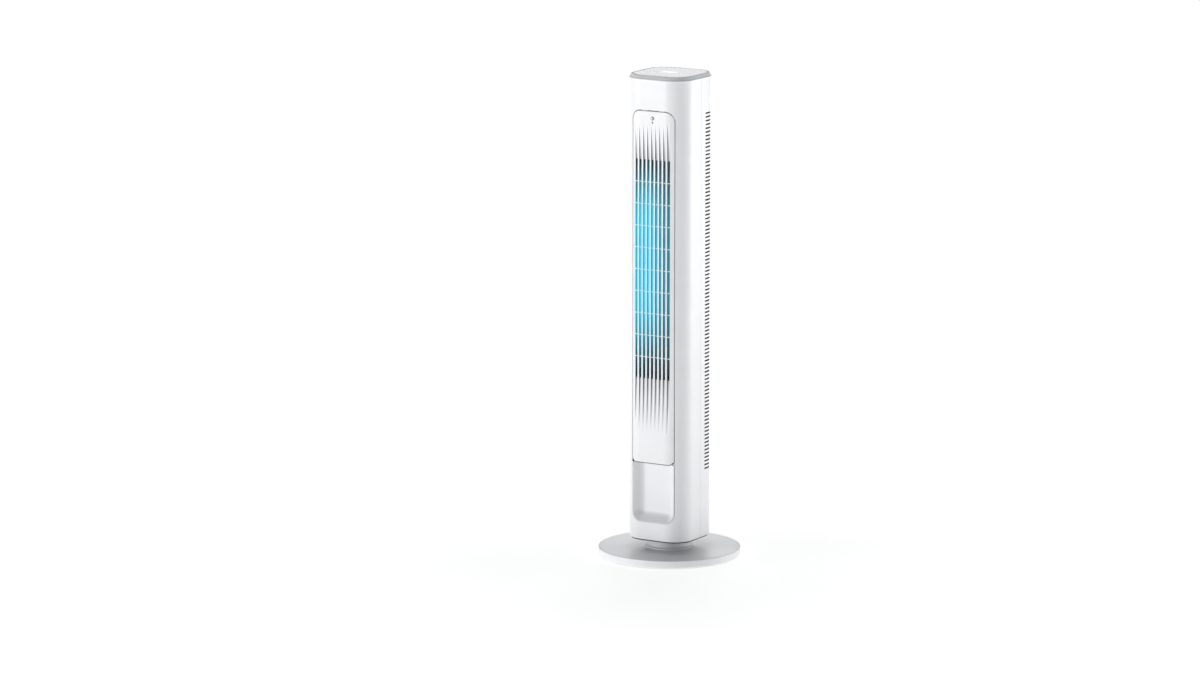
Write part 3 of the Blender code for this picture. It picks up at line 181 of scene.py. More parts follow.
def noise(tree, place, scale, detail=3.0, stretch=(1.0, 1.0, 1.0)):
    mapped = add_node(tree, "ShaderNodeMapping", {"Vector": place, "Scale": stretch})
    made = add_node(tree, "ShaderNodeTexNoise",
                    {"Vector": mapped.outputs["Vector"], "Scale": scale, "Detail": detail})
    return made.outputs["Fac"]


def colour_ramp(tree, factor, stops):
    ramp = add_node(tree, "ShaderNodeValToRGB", {"Fac": factor})
    elements = ramp.color_ramp.elements
    while len(elements) < len(stops):
        elements.new(1.0)
    for element, (place, colour) in zip(elements, stops):
        element.position = place
        element.color = (*colour, 1.0)
    return ramp.outputs["Color"]


def vary_roughness(tree, shader, pattern, rough):
    """Roughness that follows a noise pattern between two values."""
    tree.links.new(ranged(tree, pattern, NOISE_CORE, rough, "LINEAR"), shader.inputs["Roughness"])


def cloudy(tree, factor, dark, light):
    return colour_ramp(tree, factor, [(0.3, dark), (0.7, light)])


def bump(tree, shader, height, strength, distance):
    made = add_node(tree, "ShaderNodeBump",
                    {"Height": height, "Strength": strength, "Distance": distance})
    tree.links.new(made.outputs["Normal"], shader.inputs["Normal"])


def plastic(name, dark, light, rough=SATIN, grain=GRAIN_SCALE, depth=GRAIN_DEPTH):
    """Moulded plastic: a little cloudiness, fine spark-eroded grain and uneven gloss."""
    made, tree, shader, place = new_material(name)
    cloud = noise(tree, place, CLOUD_SCALE)
    tree.links.new(cloudy(tree, cloud, dark, light), shader.inputs["Base Color"])
    vary_roughness(tree, shader, noise(tree, place, GLOSS_SCALE), rough)
    bump(tree, shader, noise(tree, place, grain, 2.0), GRAIN_STRENGTH, depth)
    return made


def painted_glow_share(tree, place, shift):
    """Share of painted cool glow at a place in the outlet: most on its left half and in mid-height.

    Shift moves the pattern sideways for what lies deep behind the slots.
    """
    split = add_node(tree, "ShaderNodeSeparateXYZ", {"Vector": place})
    across, height = split.outputs["X"], split.outputs["Z"]
    share = ranged(tree, height, (outlet_bottom - 0.006, outlet_bottom + 0.17))
    left_end = -GLOW_HALF - 2 * shift
    for factor in (
            ranged(tree, height, (outlet_top + 0.004, outlet_top - 0.13)),
            ranged(tree, across, (0.052 - shift, -0.030 - shift), (0.22, 1.0)),
            ranged(tree, across, (left_end, left_end + GLOW_FADE)),
            ranged(tree, across, (GLOW_HALF, GLOW_HALF - GLOW_FADE))):
        share = product(tree, share, factor)
    return share


def painted_glow_plastic(name, plain, painted_lit, dark_painted_lit, emit, strength, shift=0.0):
    """Plastic with painted light: a cool tint and glow painted where the outlet's light would reach."""
    made, tree, shader, place = new_material(name)
    share = painted_glow_share(tree, place, shift)
    cloud = noise(tree, place, CLOUD_SCALE)
    glow_tinted = cloudy(tree, cloud, dark_painted_lit, painted_lit)
    untinted = cloudy(tree, cloud, tuple(0.97 * value for value in plain), plain)
    mixed = tree.nodes.new("ShaderNodeMix")
    mixed.data_type = "RGBA"
    tree.links.new(share, mixed.inputs[0])
    tree.links.new(untinted, mixed.inputs[6])
    tree.links.new(glow_tinted, mixed.inputs[7])
    tree.links.new(mixed.outputs[2], shader.inputs["Base Color"])
    shader.inputs["Emission Color"].default_value = (*emit, 1.0)
    tree.links.new(product(tree, share, strength), shader.inputs["Emission Strength"])
    vary_roughness(tree, shader, noise(tree, place, GLOSS_SCALE), SATIN)
    bump(tree, shader, noise(tree, place, GRAIN_SCALE, 2.0), GRAIN_STRENGTH, GRAIN_DEPTH)
    return made


def metal(name, dark, light, rough, stretch, scale=90.0):
    """Metal with fine lines along the direction that stretch leaves long."""
    made, tree, shader, place = new_material(name, metallic=1.0)
    lines = noise(tree, place, scale, 4.0, stretch)
    tree.links.new(cloudy(tree, lines, dark, light), shader.inputs["Base Color"])
    vary_roughness(tree, shader, lines, rough)
    bump(tree, shader, lines, 0.15, 0.00003)
    return made


def zinc(name):
    """Galvanised sheet with its crystal pattern."""
    made, tree, shader, place = new_material(name, metallic=1.0)
    cells = add_node(tree, "ShaderNodeTexVoronoi", {"Vector": place, "Scale": 150.0})
    shade = add_node(tree, "ShaderNodeSeparateXYZ", {"Vector": cells.outputs["Color"]})
    stops = [(0.0, (0.50, 0.51, 0.53)), (1.0, (0.64, 0.65, 0.67))]
    tree.links.new(colour_ramp(tree, shade.outputs["X"], stops), shader.inputs["Base Color"])
    vary_roughness(tree, shader, shade.outputs["Y"], (0.32, 0.42))
    bump(tree, shader, noise(tree, place, 400.0), 0.1, 0.00003)
    return made


def circuit(name):
    """Solder mask with copper tracks showing through it."""
    made, tree, shader, place = new_material(name, 0.3)
    tracks = add_node(tree, "ShaderNodeTexBrick", {
        "Vector": place, "Color1": (0.02, 0.17, 0.08, 1.0), "Color2": (0.025, 0.20, 0.10, 1.0),
        "Mortar": (0.07, 0.34, 0.17, 1.0), "Scale": 160.0, "Mortar Size": 0.05, "Bias": 0.2})
    tree.links.new(tracks.outputs["Color"], shader.inputs["Base Color"])
    bump(tree, shader, tracks.outputs["Fac"], 0.3, 0.00003)
    return made


def lens(name, tint, roughness):
    made, tree, shader, place = new_material(name, roughness)
    faint = tuple(0.85 * value for value in tint)
    tree.links.new(cloudy(tree, noise(tree, place, 40.0), faint, tint), shader.inputs["Base Color"])
    shader.inputs["Coat Weight"].default_value = 0.6
    bump(tree, shader, noise(tree, place, 120.0), 0.05, 0.00001)
    return made


WHITE = plastic("white_plastic", (0.845, 0.855, 0.87), (0.87, 0.88, 0.895))
CAP_GREY = plastic("grey_cap_plastic", (0.70, 0.71, 0.72), (0.74, 0.75, 0.76))
PANEL_GLOSS = plastic("touch_panel_gloss", (0.70, 0.715, 0.725), (0.73, 0.745, 0.755),
                      (0.26, 0.32), 900.0, 0.000006)
MARK_WHITE = plastic("touch_mark_ink", (0.80, 0.82, 0.83), (0.84, 0.86, 0.87),
                     (0.16, 0.22), 900.0, 0.000006)
DARK = plastic("dark_plastic", (0.030, 0.031, 0.034), (0.045, 0.046, 0.050), (0.42, 0.56), 1400.0, 0.00006)
# Painted light in the outlet: these plastics carry a painted cool tint and glow, placed by position.
GLOW_PAINTED_WHITE = painted_glow_plastic("outlet_white_painted_glow", (0.86, 0.87, 0.885), (0.30, 0.72, 0.82),
                        (0.28, 0.69, 0.80), (0.30, 0.88, 1.0), 0.12)
# The slot walls' plain colour is darker as painted shade, besides the painted glow.
SHADE_AND_GLOW_PAINTED_WALL = painted_glow_plastic("outlet_slot_wall_painted_shade_and_glow", (0.16, 0.20, 0.22), (0.08, 0.30, 0.37),
                       (0.075, 0.28, 0.35), (0.12, 0.58, 0.74), 0.34)
GLOW_PAINTED_DUCT = painted_glow_plastic("outlet_duct_painted_glow", (0.21, 0.28, 0.30), (0.14, 0.42, 0.50),
                       (0.13, 0.39, 0.47), (0.16, 0.62, 0.80), 0.80, INNER_SHIFT)
GLOW_PAINTED_WHEEL = painted_glow_plastic("outlet_impeller_painted_glow", (0.20, 0.28, 0.31), (0.14, 0.44, 0.53),
                        (0.13, 0.41, 0.50), (0.16, 0.64, 0.82), 0.80, INNER_SHIFT)
FILTER_GREY = plastic("filter_fleece", (0.050, 0.052, 0.055), (0.075, 0.077, 0.080),
                      (0.80, 0.92), 1500.0, 0.0002)
# Painted shade: dark grey for the grooves round the grille, inside the vents, and the painted shadow line
# under the grille's lip.
PAINTED_SHADE_GREY = plastic("painted_shadow_plastic", (0.10, 0.105, 0.11), (0.13, 0.135, 0.14), (0.45, 0.55))
RUBBER = plastic("rubber", (0.030, 0.030, 0.031), (0.050, 0.050, 0.052), (0.75, 0.92), 900.0, 0.0001)
STEEL = metal("bright_steel", (0.56, 0.56, 0.58), (0.68, 0.68, 0.70), (0.22, 0.36), (1.0, 1.0, 30.0))
BRONZE = metal("sintered_bronze", (0.46, 0.31, 0.16), (0.60, 0.43, 0.24),
               (0.42, 0.60), (1.0, 1.0, 1.0), 900.0)
ZINC = zinc("zinc_sheet")
ACETAL = plastic("acetal", (0.78, 0.78, 0.74), (0.84, 0.84, 0.81), (0.30, 0.40))
BOARD = circuit("circuit_board")
SMOKED = lens("smoked_lens", (0.20, 0.21, 0.22), 0.12)
DISPLAY = lens("display_lens", (0.80, 0.83, 0.85), 0.34)

# The duct and impeller slots take plastics with the painted cool glow.
SLOT_LOOKS = {
    "white_plastic": WHITE, "grey_cap_plastic": CAP_GREY, "touch_panel_gloss": PANEL_GLOSS,
    "display_lens": DISPLAY, "dark_plastic": DARK, "duct_plastic": GLOW_PAINTED_DUCT,
    "impeller_plastic": GLOW_PAINTED_WHEEL, "rubber": RUBBER, "bright_steel": STEEL, "zinc_sheet": ZINC,
    "sintered_bronze": BRONZE, "acetal": ACETAL, "circuit_board": BOARD, "smoked_lens": SMOKED,
}


# ---------------------------------------------------------------- mesh tools

SHARP_ANGLE = math.radians(32)
AXES = {
    "Z": lambda a, b, c: (a, b, c),
    "Y": lambda a, b, c: (a, c, b),
    "X": lambda a, b, c: (c, a, b),
}


def mesh_object(name, points, faces, look=None):
    mesh = bpy.data.meshes.new(name)
    mesh.from_pydata([tuple(p) for p in points], [], faces)
    shape = bmesh.new()
    shape.from_mesh(mesh)
    bmesh.ops.recalc_face_normals(shape, faces=shape.faces)
    shape.to_mesh(mesh)
    shape.free()
    mesh.shade_smooth()
    mesh.set_sharp_from_angle(angle=SHARP_ANGLE)
    made = bpy.data.objects.new(name, mesh)
    if look is not None:
        mesh.materials.append(look)
    bpy.context.scene.collection.objects.link(made)
    return made


def stack_loops(loops, closed=False):
    """Points and faces that join loops of equal length, with end faces unless closed."""
    count = len(loops[0])
    points = [point for loop in loops for point in loop]
    faces = []
    for row in range(len(loops) if closed else len(loops) - 1):
        low = row * count
        high = (row + 1) % len(loops) * count
        for i in range(count):
            j = (i + 1) % count
            faces.append((low + i, low + j, high + j, high + i))
    if not closed:
        faces.append(tuple(range(count)))
        faces.append(tuple(range(len(points) - count, len(points))))
    return points, faces


def joined(parts):
    """Points and faces of several closed shapes as one list."""
    points = []
    faces = []
    for new_points, new_faces in parts:
        faces.extend(tuple(len(points) + index for index in face) for face in new_faces)
        points.extend(new_points)
    return points, faces


def arc(centre, radius, start, end, steps):
    angles = [math.radians(start + (end - start) * i / steps) for i in range(steps + 1)]
    return [(centre[0] + radius * math.cos(t), centre[1] + radius * math.sin(t)) for t in angles]


def soften(outline, radius, steps=3):
    """Closed outline with each corner rounded off, by less where its sides are short."""
    soft = []
    for i, corner in enumerate(outline):
        corner = Vector(corner)
        before = Vector(outline[i - 1]) - corner
        after = Vector(outline[(i + 1) % len(outline)]) - corner
        reach = min(radius, 0.45 * before.length, 0.45 * after.length)
        first = corner + before.normalized() * reach
        last = corner + after.normalized() * reach
        for step in range(steps + 1):
            t = step / steps
            soft.append(tuple(first * (1 - t) ** 2 + corner * 2 * t * (1 - t) + last * t ** 2))
    return soft


def turned_parts(profile, centre=(0.0, 0.0), axis="Z", steps=TURN_STEPS):
    """Points and faces of a closed profile of (radius, height) turned round an axis."""
    place = AXES[axis]
    points = []
    rows = []
    for radius, height in profile:
        count = 1 if radius < 1e-7 else steps
        rows.append((len(points), count))
        for i in range(count):
            angle = 2 * math.pi * (i + 0.5) / steps
            a = centre[0] + radius * math.cos(angle)
            b = centre[1] + radius * math.sin(angle)
            points.append(place(a, b, height))
    faces = []
    for row, (low, low_count) in enumerate(rows):
        high, high_count = rows[(row + 1) % len(rows)]
        for i in range(steps):
            j = (i + 1) % steps
            corners = [low + i % low_count, low + j % low_count, high + j % high_count, high + i % high_count]
            face = tuple(dict.fromkeys(corners))
            if len(face) > 2:
                faces.append(face)
    return points, faces


def turned(name, profile, look=None, centre=(0.0, 0.0), axis="Z", steps=TURN_STEPS):
    return mesh_object(name, *turned_parts(profile, centre, axis, steps), look)


def prism_parts(outline, low, high, axis="Z"):
    place = AXES[axis]
    return stack_loops([[place(a, b, level) for a, b in outline] for level in (low, high)])


def prism(name, outline, low, high, look=None, axis="Z"):
    return mesh_object(name, *prism_parts(outline, low, high, axis), look)


def rounded_rectangle(low, high, low_corner, high_corner, steps=CORNER_STEPS):
    outline = arc((high[0] - low_corner, low[1] + low_corner), low_corner, -90, 0, steps)
    outline += arc((high[0] - high_corner, high[1] - high_corner), high_corner, 0, 90, steps)
    outline += arc((low[0] + high_corner, high[1] - high_corner), high_corner, 90, 180, steps)
    outline += arc((low[0] + low_corner, low[1] + low_corner), low_corner, 180, 270, steps)
    return outline


def column_outline(half, steps=CORNER_STEPS):
    corner = COLUMN_CORNER + half - column_half
    return rounded_rectangle((-half, -half), (half, half), corner, corner, steps)


def column_loft(name, rings, look=None, closed=False):
    """Solid through column outlines, each given as (half, z)."""
    loops = [[(x, y, z) for x, y in column_outline(half)] for half, z in rings]
    return mesh_object(name, *stack_loops(loops, closed), look)


def surface_y(x, inset=0.0):
    """Y of the column's front surface at x, or of the surface that lies inset behind it."""
    radius = COLUMN_CORNER - inset
    past_flat = max(0.0, abs(x) - corner_centre)
    return -(corner_centre + math.sqrt(max(0.0, radius ** 2 - past_flat ** 2)))


def front_arc(inset, half, steps=CORNER_STEPS):
    """Points on the column's front surface, inset behind it, from -half to half."""
    radius = COLUMN_CORNER - inset
    reach = math.degrees(math.asin(min(1.0, (half - corner_centre) / radius)))
    run = arc((-corner_centre, -corner_centre), radius, 270 - reach, 270, steps)
    return run + arc((corner_centre, -corner_centre), radius, 270, 270 + reach, steps)


def subdivide(outline, longest):
    """Closed outline with its long straight sides cut into shorter ones."""
    fine = []
    for i, start in enumerate(outline):
        end = outline[(i + 1) % len(outline)]
        pieces = max(1, round((Vector(end) - Vector(start)).length / longest))
        for step in range(pieces):
            t = step / pieces
            fine.append((start[0] + (end[0] - start[0]) * t, start[1] + (end[1] - start[1]) * t))
    return fine


def follow_front(outline_of, chamfer, back_y):
    """Loops of a cutter whose side follows the column's front, chamfered by the given amount."""
    wide = 1.4 * chamfer
    outline = subdivide(outline_of(wide), FOLLOW_STEP)
    loops = [[(x, -column_half - REACH, z) for x, z in outline]]
    loops.append([(x, surface_y(x, -0.4 * abs(chamfer)), z) for x, z in outline])
    outline = subdivide(outline_of(0.0), FOLLOW_STEP)
    if len(outline) != len(loops[0]):
        raise ValueError("the cutter's loops differ in length")
    loops.append([(x, surface_y(x, abs(chamfer)), z) for x, z in outline])
    loops.append([(x, back_y, z) for x, z in outline])
    return loops


def combine(target, tool, operation):
    """Boolean of target with a tool, applied at once; the tool is removed."""
    step = target.modifiers.new("Boolean", "BOOLEAN")
    step.object = tool
    step.operation = operation
    step.solver = "MANIFOLD"
    apply_modifiers(target)
    bpy.data.objects.remove(tool)


def apply_modifiers(target):
    bpy.context.view_layer.update()
    graph = bpy.context.evaluated_depsgraph_get()
    mesh = bpy.data.meshes.new_from_object(target.evaluated_get(graph))
    old = target.data
    target.modifiers.clear()
    target.data = mesh
    bpy.data.meshes.remove(old)


def soft_edges(target, width, sharp, segments=2):
    """Small rounded edges, with the shading of flat faces kept flat."""
    bevel = target.modifiers.new("Edges", "BEVEL")
    bevel.width = width
    bevel.segments = segments
    bevel.limit_method = "ANGLE"
    bevel.angle_limit = math.radians(sharp)
    bevel.harden_normals = True
    apply_modifiers(target)


def even_shading(piece):
    """Smooth shading that keeps edges sharp and large flat faces flat."""
    piece.data.shade_smooth()
    piece.data.set_sharp_from_angle(angle=SHARP_ANGLE)
    step = piece.modifiers.new("Shading", "WEIGHTED_NORMAL")
    step.keep_sharp = True
    step.weight = 90
    apply_modifiers(piece)


def finished(piece, body, slot, *replaced, look=None):
    """Gives the piece its slot's look, attaches it to its body and hides the nodes that it stands for."""
    even_shading(piece)
    piece.data.materials.clear()
    piece.data.materials.append(look or SLOT_LOOKS[slot])
    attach(piece, body)
    if replaced:
        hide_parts(*replaced)


# ---------------------------------------------------------------- base

def make_base():
    low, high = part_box("base_cover")
    radius = high.x
    top = high.z
    bottom = low.z
    wall = 0.0025
    bead = 0.0030  # width of the rim's rounded upper edge
    groove = 0.0006
    rim = 0.0016  # radius of that edge
    bore = 0.0105
    profile = [(bore, top), (radius - bead - groove, top), (radius - bead - groove / 2, top - 0.0005)]
    profile.append((radius - bead, top - 0.0001))
    profile += arc((radius - rim, top - rim), rim, 90, 0, 6)
    profile += [(radius, bottom + 0.0022), (radius - 0.0017, bottom), (radius - wall, bottom)]
    profile += [(radius - wall, top - wall - 0.001), (radius - wall - 0.001, top - wall), (bore, top - wall)]
    cover = turned("base_cover_fine", profile, steps=192)
    gland_low, gland_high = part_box("cord_gland")
    gland_z = (gland_low.z + gland_high.z) / 2
    gland_radius = (gland_high.z - gland_low.z) / 2
    mouth = [(0.0, gland_low.y - 0.004), (gland_radius + 0.0004, gland_low.y - 0.004),
             (gland_radius + 0.0004, radius + REACH), (0.0, radius + REACH)]
    combine(cover, turned("mouth", mouth, centre=(0.0, gland_z), axis="Y", steps=SMALL_TURN), "DIFFERENCE")
    finished(cover, "base", "white_plastic", "base_cover")
    make_gland(gland_low, gland_high, gland_z, gland_radius)
    make_neck()
    for i in range(1, 7):
        make_foot(i)


def make_gland(low, high, z, radius):
    """Ribbed rubber sleeve where the mains lead would enter, with an open bore."""
    length = high.y - low.y
    bore = 0.003
    profile = [(bore, low.y), (radius, low.y)]
    ribs = 4
    for i in range(ribs):
        start = low.y + length * (0.15 + 0.62 * i / ribs)
        profile += [(radius, start), (radius - 0.0006, start + 0.0004), (radius - 0.0006, start + 0.0010)]
        profile.append((radius, start + 0.0014))
    profile += [(radius, high.y - 0.0006), (radius - 0.0006, high.y), (bore + 0.0005, high.y)]
    profile.append((bore, high.y - 0.0005))
    gland = turned("cord_gland_fine", profile, centre=(0.0, z), axis="Y", steps=SMALL_TURN)
    finished(gland, "base", "rubber", "cord_gland")


def make_neck():
    low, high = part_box("neck")
    flange = high.x
    radius = 0.0465
    wall = 0.003
    bore = 0.0158
    profile = soften([
        (flange, low.z), (flange, low.z + 0.0025), (radius + 0.0015, low.z + 0.004),
        (radius, low.z + 0.007), (radius, high.z), (bore, high.z), (bore, high.z - wall),
        (radius - wall, high.z - wall), (radius - wall, low.z)], 0.0008)
    finished(turned("neck_fine", profile), "base", "grey_cap_plastic", "neck")


def make_foot(index):
    """Rubber pad with a recessed ring in its sole."""
    low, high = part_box(f"foot_{index}")
    centre = ((low.x + high.x) / 2, (low.y + high.y) / 2)
    radius = (high.x - low.x) / 2 * 0.999
    profile = [(0.0, low.z), (radius * 0.45, low.z), (radius * 0.5, low.z + 0.0005)]
    profile += [(radius * 0.66, low.z + 0.0005), (radius * 0.71, low.z), (radius - 0.0007, low.z)]
    profile += [(radius - 0.0002, low.z + 0.0003), (radius, low.z + 0.0008)]
    profile += [(radius, high.z), (0.0, high.z)]
    foot = turned(f"foot_{index}_fine", profile, centre=centre, steps=SMALL_TURN)
    finished(foot, "base", "rubber", f"foot_{index}")


# ---------------------------------------------------------------- column shells

def shell_loop(outer, inner, end):
    """U-shaped section of the front shell, with a small chamfer at the seam."""
    chamfer = 0.0004
    loop = []
    for half, edge in ((outer, chamfer), (inner, 0.0)):
        corner = COLUMN_CORNER + half - column_half
        centre = half - corner
        run = [(-half + edge, end), (-half, end - chamfer)]
        run += arc((-centre, -centre), corner, 180, 270, CORNER_STEPS)
        run += arc((centre, -centre), corner, 270, 360, CORNER_STEPS)
        run += [(half, end - chamfer), (half - edge, end)]
        loop += run if edge else run[::-1]
    return loop


def edge_rings(bottom, top, low_round, high_round, steps=4):
    """(inset, z) up a wall whose lower and upper edges are rounded."""
    rings = []
    for i in range(steps + 1):
        angle = math.pi / 2 * i / steps
        rings.append((low_round * (1 - math.sin(angle)), bottom + low_round * (1 - math.cos(angle))))
    for i in range(steps + 1):
        angle = math.pi / 2 * i / steps
        rings.append((high_round * (1 - math.cos(angle)), top - high_round * (1 - math.sin(angle))))
    return rings


def opening_outline(growth):
    low = (-panel_half - growth, panel_bottom - growth)
    high = (panel_half + growth, panel_top + growth)
    return rounded_rectangle(low, high, PANEL_CORNER + growth, PANEL_CORNER + growth, 10)


def make_front_shell():
    loops = []
    for inset, z in edge_rings(column_bottom, shell_top, 0.0016, 0.0006):
        loops.append([(x, y, z) for x, y in shell_loop(column_half - inset, inner_half, seam_y)])
    shell = mesh_object("front_shell_fine", *stack_loops(loops))
    behind = surface_y(panel_half, SHELL_WALL) + 0.004
    opening = mesh_object("opening", *stack_loops(follow_front(opening_outline, EDGE_CHAMFER, behind)))
    combine(shell, opening, "DIFFERENCE")
    finished(shell, "column", "white_plastic", "front_shell")
    # Painted shade: the opening's side walls in the groove round the grille are dark grey.
    shell.data.materials.append(PAINTED_SHADE_GREY)
    for face in shell.data.polygons:
        if abs(face.normal.x) > 0.9 and abs(abs(face.center.x) - panel_half) < 0.0005:
            face.material_index = 1


def vent_rows():
    """Heights of the rear shell's grid: its ends and the edges of every vent."""
    low = column_bottom + VENT_BOTTOM
    high = shell_top - VENT_TOP
    count = round((high - low + VENT_PITCH - VENT_HEIGHT) / VENT_PITCH)
    rows = []
    for i in range(count):
        start = low + i * VENT_PITCH
        rows += [start, start + VENT_HEIGHT]
    return rows


def rear_run(half, start):
    """Points round the back from the left seam to the right one, with their vent marks."""
    corner = COLUMN_CORNER + half - column_half
    centre = half - corner
    run = [(-half, start), (-half, VENT_START_Y), (-half, (VENT_START_Y + centre) / 2)]
    run += arc((-centre, centre), corner, 180, 90, CORNER_STEPS)
    run += [(-VENT_SPINE / 2 - 0.010, half), (-VENT_SPINE / 2, half), (VENT_SPINE / 2, half)]
    run.append((VENT_SPINE / 2 + 0.010, half))
    run += arc((centre, centre), corner, 90, 0, CORNER_STEPS)
    run += [(half, (VENT_START_Y + centre) / 2), (half, VENT_START_Y), (half, start)]
    return run


def make_rear_shell():
    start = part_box("rear_shell")[0].y
    outer = rear_run(column_half, start)
    inner = rear_run(inner_half, start)
    columns = len(outer)
    spine = columns // 2 - 1
    vents = vent_rows()
    low_edge = edge_rings(column_bottom, column_bottom + 0.1, 0.0016, 0.0001)[:5]
    high_edge = edge_rings(shell_top - 0.1, shell_top, 0.0001, 0.0006)[5:]
    rings = low_edge + [(0.0, z) for z in vents] + high_edge
    first = len(low_edge)
    points = []
    for inset, z in rings:
        slim = rear_run(column_half - inset, start) if inset > 0.0 else outer
        points += [(x, y, z) for x, y in slim]
        points += [(x, y, z) for x, y in inner]

    def solid(row, column):
        inside = 0 <= row < len(rings) - 1 and 0 <= column < columns - 1
        vent_row = first <= row < first + len(vents) and (row - first) % 2 == 0
        vent_column = 1 <= column < columns - 2 and column != spine
        return inside and not (vent_row and vent_column)

    faces = []

    def add_face(*corners):
        faces.append(tuple((2 * r + layer) * columns + c for r, c, layer in corners))

    for row in range(len(rings)):
        for column in range(columns):
            here = solid(row, column)
            up, on = row + 1, column + 1
            if here:
                for layer in (0, 1):
                    add_face((row, column, layer), (row, on, layer), (up, on, layer), (up, column, layer))
            if on < columns and here != solid(row - 1, column):
                add_face((row, column, 0), (row, on, 0), (row, on, 1), (row, column, 1))
            if up < len(rings) and here != solid(row, column - 1):
                add_face((row, column, 0), (up, column, 0), (up, column, 1), (row, column, 1))
    shell = mesh_object("rear_shell_fine", points, faces)
    add_tunnels(shell, start)
    add_grip_pocket(shell)
    finished(shell, "column", "white_plastic", "rear_shell")
    # Painted shade: the vents' inward walls and their upper and lower faces are dark grey.
    shell.data.materials.append(PAINTED_SHADE_GREY)
    for face in shell.data.polygons:
        centre, normal = face.center, face.normal
        inward = normal.x * centre.x + normal.y * centre.y < -0.01
        if vents[0] - 0.001 < centre.z < vents[-1] + 0.001 and (inward or abs(normal.z) > 0.9):
            face.material_index = 1


def make_vent_filter():
    """Dark dust filter that lines the rear shell behind its vents."""
    start = VENT_START_Y - 0.003
    outline = rear_run(inner_half - 0.0008, start) + rear_run(inner_half - 0.0014, start)[::-1]
    vents = vent_rows()
    filter_sheet = prism("vent_filter_fine", outline, vents[0] - 0.002, vents[-1] + 0.002)
    finished(filter_sheet, "column", "dark_plastic", look=FILTER_GREY)
    # Painted glow: the filter's inner face takes the duct's painted cool glow.
    filter_sheet.data.materials.append(GLOW_PAINTED_DUCT)
    for face in filter_sheet.data.polygons:
        if face.normal.x * face.center.x + face.normal.y * (face.center.y - VENT_START_Y) < 0:
            face.material_index = 1


def shell_screw_places():
    for i in range(1, 5):
        low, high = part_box(f"shell_screw_{i}")
        yield (low.x + high.x) / 2, (low.z + high.z) / 2


def add_tunnels(shell, start):
    """Deep round tunnels through which the shell screws are reached."""
    for x, z in shell_screw_places():
        back = -surface_y(x, SHELL_WALL) + 0.0012
        boss = [(0.0, start), (SCREW_BOSS, start), (SCREW_BOSS, back), (0.0, back)]
        boss_turned = turned("boss", boss, centre=(x, z), axis="Y", steps=SMALL_TURN)
        combine(shell, boss_turned, "UNION")
        seat = start + SCREW_SEAT
        far = column_half + REACH
        mouth = -surface_y(x) + 0.0002
        tunnel = [(0.0, seat), (SCREW_TUNNEL, seat), (SCREW_TUNNEL, mouth - 0.0006)]
        wide = SCREW_TUNNEL + SCREW_MOUTH
        tunnel += [(wide, mouth + 0.0006), (wide, far), (0.0, far)]
        combine(shell, turned("tunnel", tunnel, centre=(x, z), axis="Y", steps=SMALL_TURN), "DIFFERENCE")


def add_grip_pocket(shell):
    """Rounded pocket for the hand at the top of the back."""
    top = shell_top - GRIP_BELOW_TOP
    low = top - GRIP_HEIGHT
    floor = column_half - GRIP_DEPTH
    inside = inner_half - 0.0005
    wall = GRIP_WALL
    block = rounded_rectangle((-GRIP_HALF - wall, low - wall), (GRIP_HALF + wall, top + wall),
                              GRIP_CORNER + wall, GRIP_CORNER + wall)
    pocket = prism("block", block, floor - wall, inside + OVERLAP, axis="Y")
    combine(shell, pocket, "UNION")
    room = rounded_rectangle((-GRIP_HALF, low), (GRIP_HALF, top), GRIP_CORNER, GRIP_CORNER)
    combine(shell, prism("room", room, floor, inside, axis="Y"), "DIFFERENCE")
    loops = []
    for growth, y in ((0.0, inside - 0.002), (0.0, column_half - 0.0010), (0.0016, column_half + 0.0006)):
        mouth = rounded_rectangle((-GRIP_HALF - growth, low - growth),
                                  (GRIP_HALF + growth, low + GRIP_MOUTH + growth),
                                  GRIP_CORNER + growth, GRIP_CORNER + growth)
        loops.append([(x, y, z) for x, z in mouth])
    combine(shell, mesh_object("mouth", *stack_loops(loops)), "DIFFERENCE")


# ---------------------------------------------------------------- front grille and recess

def grille_outline(growth):
    """Outline of the grille; the bevel of its lower lip is higher than its other edges'."""
    side = growth - GROOVE_EXTRA
    low = (-grille_half - side, lip_z - LIP_BEVEL * growth)
    high = (grille_half + side, grille_top + side)
    return rounded_rectangle(low, high, LIP_CORNER + side, PANEL_CORNER - PANEL_GAP + side, 10)


def slot_profile(x):
    """Side view of a slot's cutter: through in the outlet, and ramps in the flutes."""
    front = surface_y(x)
    floor = front + FLUTE_DEPTH
    out = front - 0.006
    back = front + GRILLE_THICK + 0.006
    return [
        (out, outlet_bottom - FLUTE_DOWN), (front, outlet_bottom - FLUTE_DOWN),
        (floor, outlet_bottom), (back, outlet_bottom), (back, outlet_top), (floor, outlet_top),
        (front, outlet_top + FLUTE_UP), (out, outlet_top + FLUTE_UP),
    ]


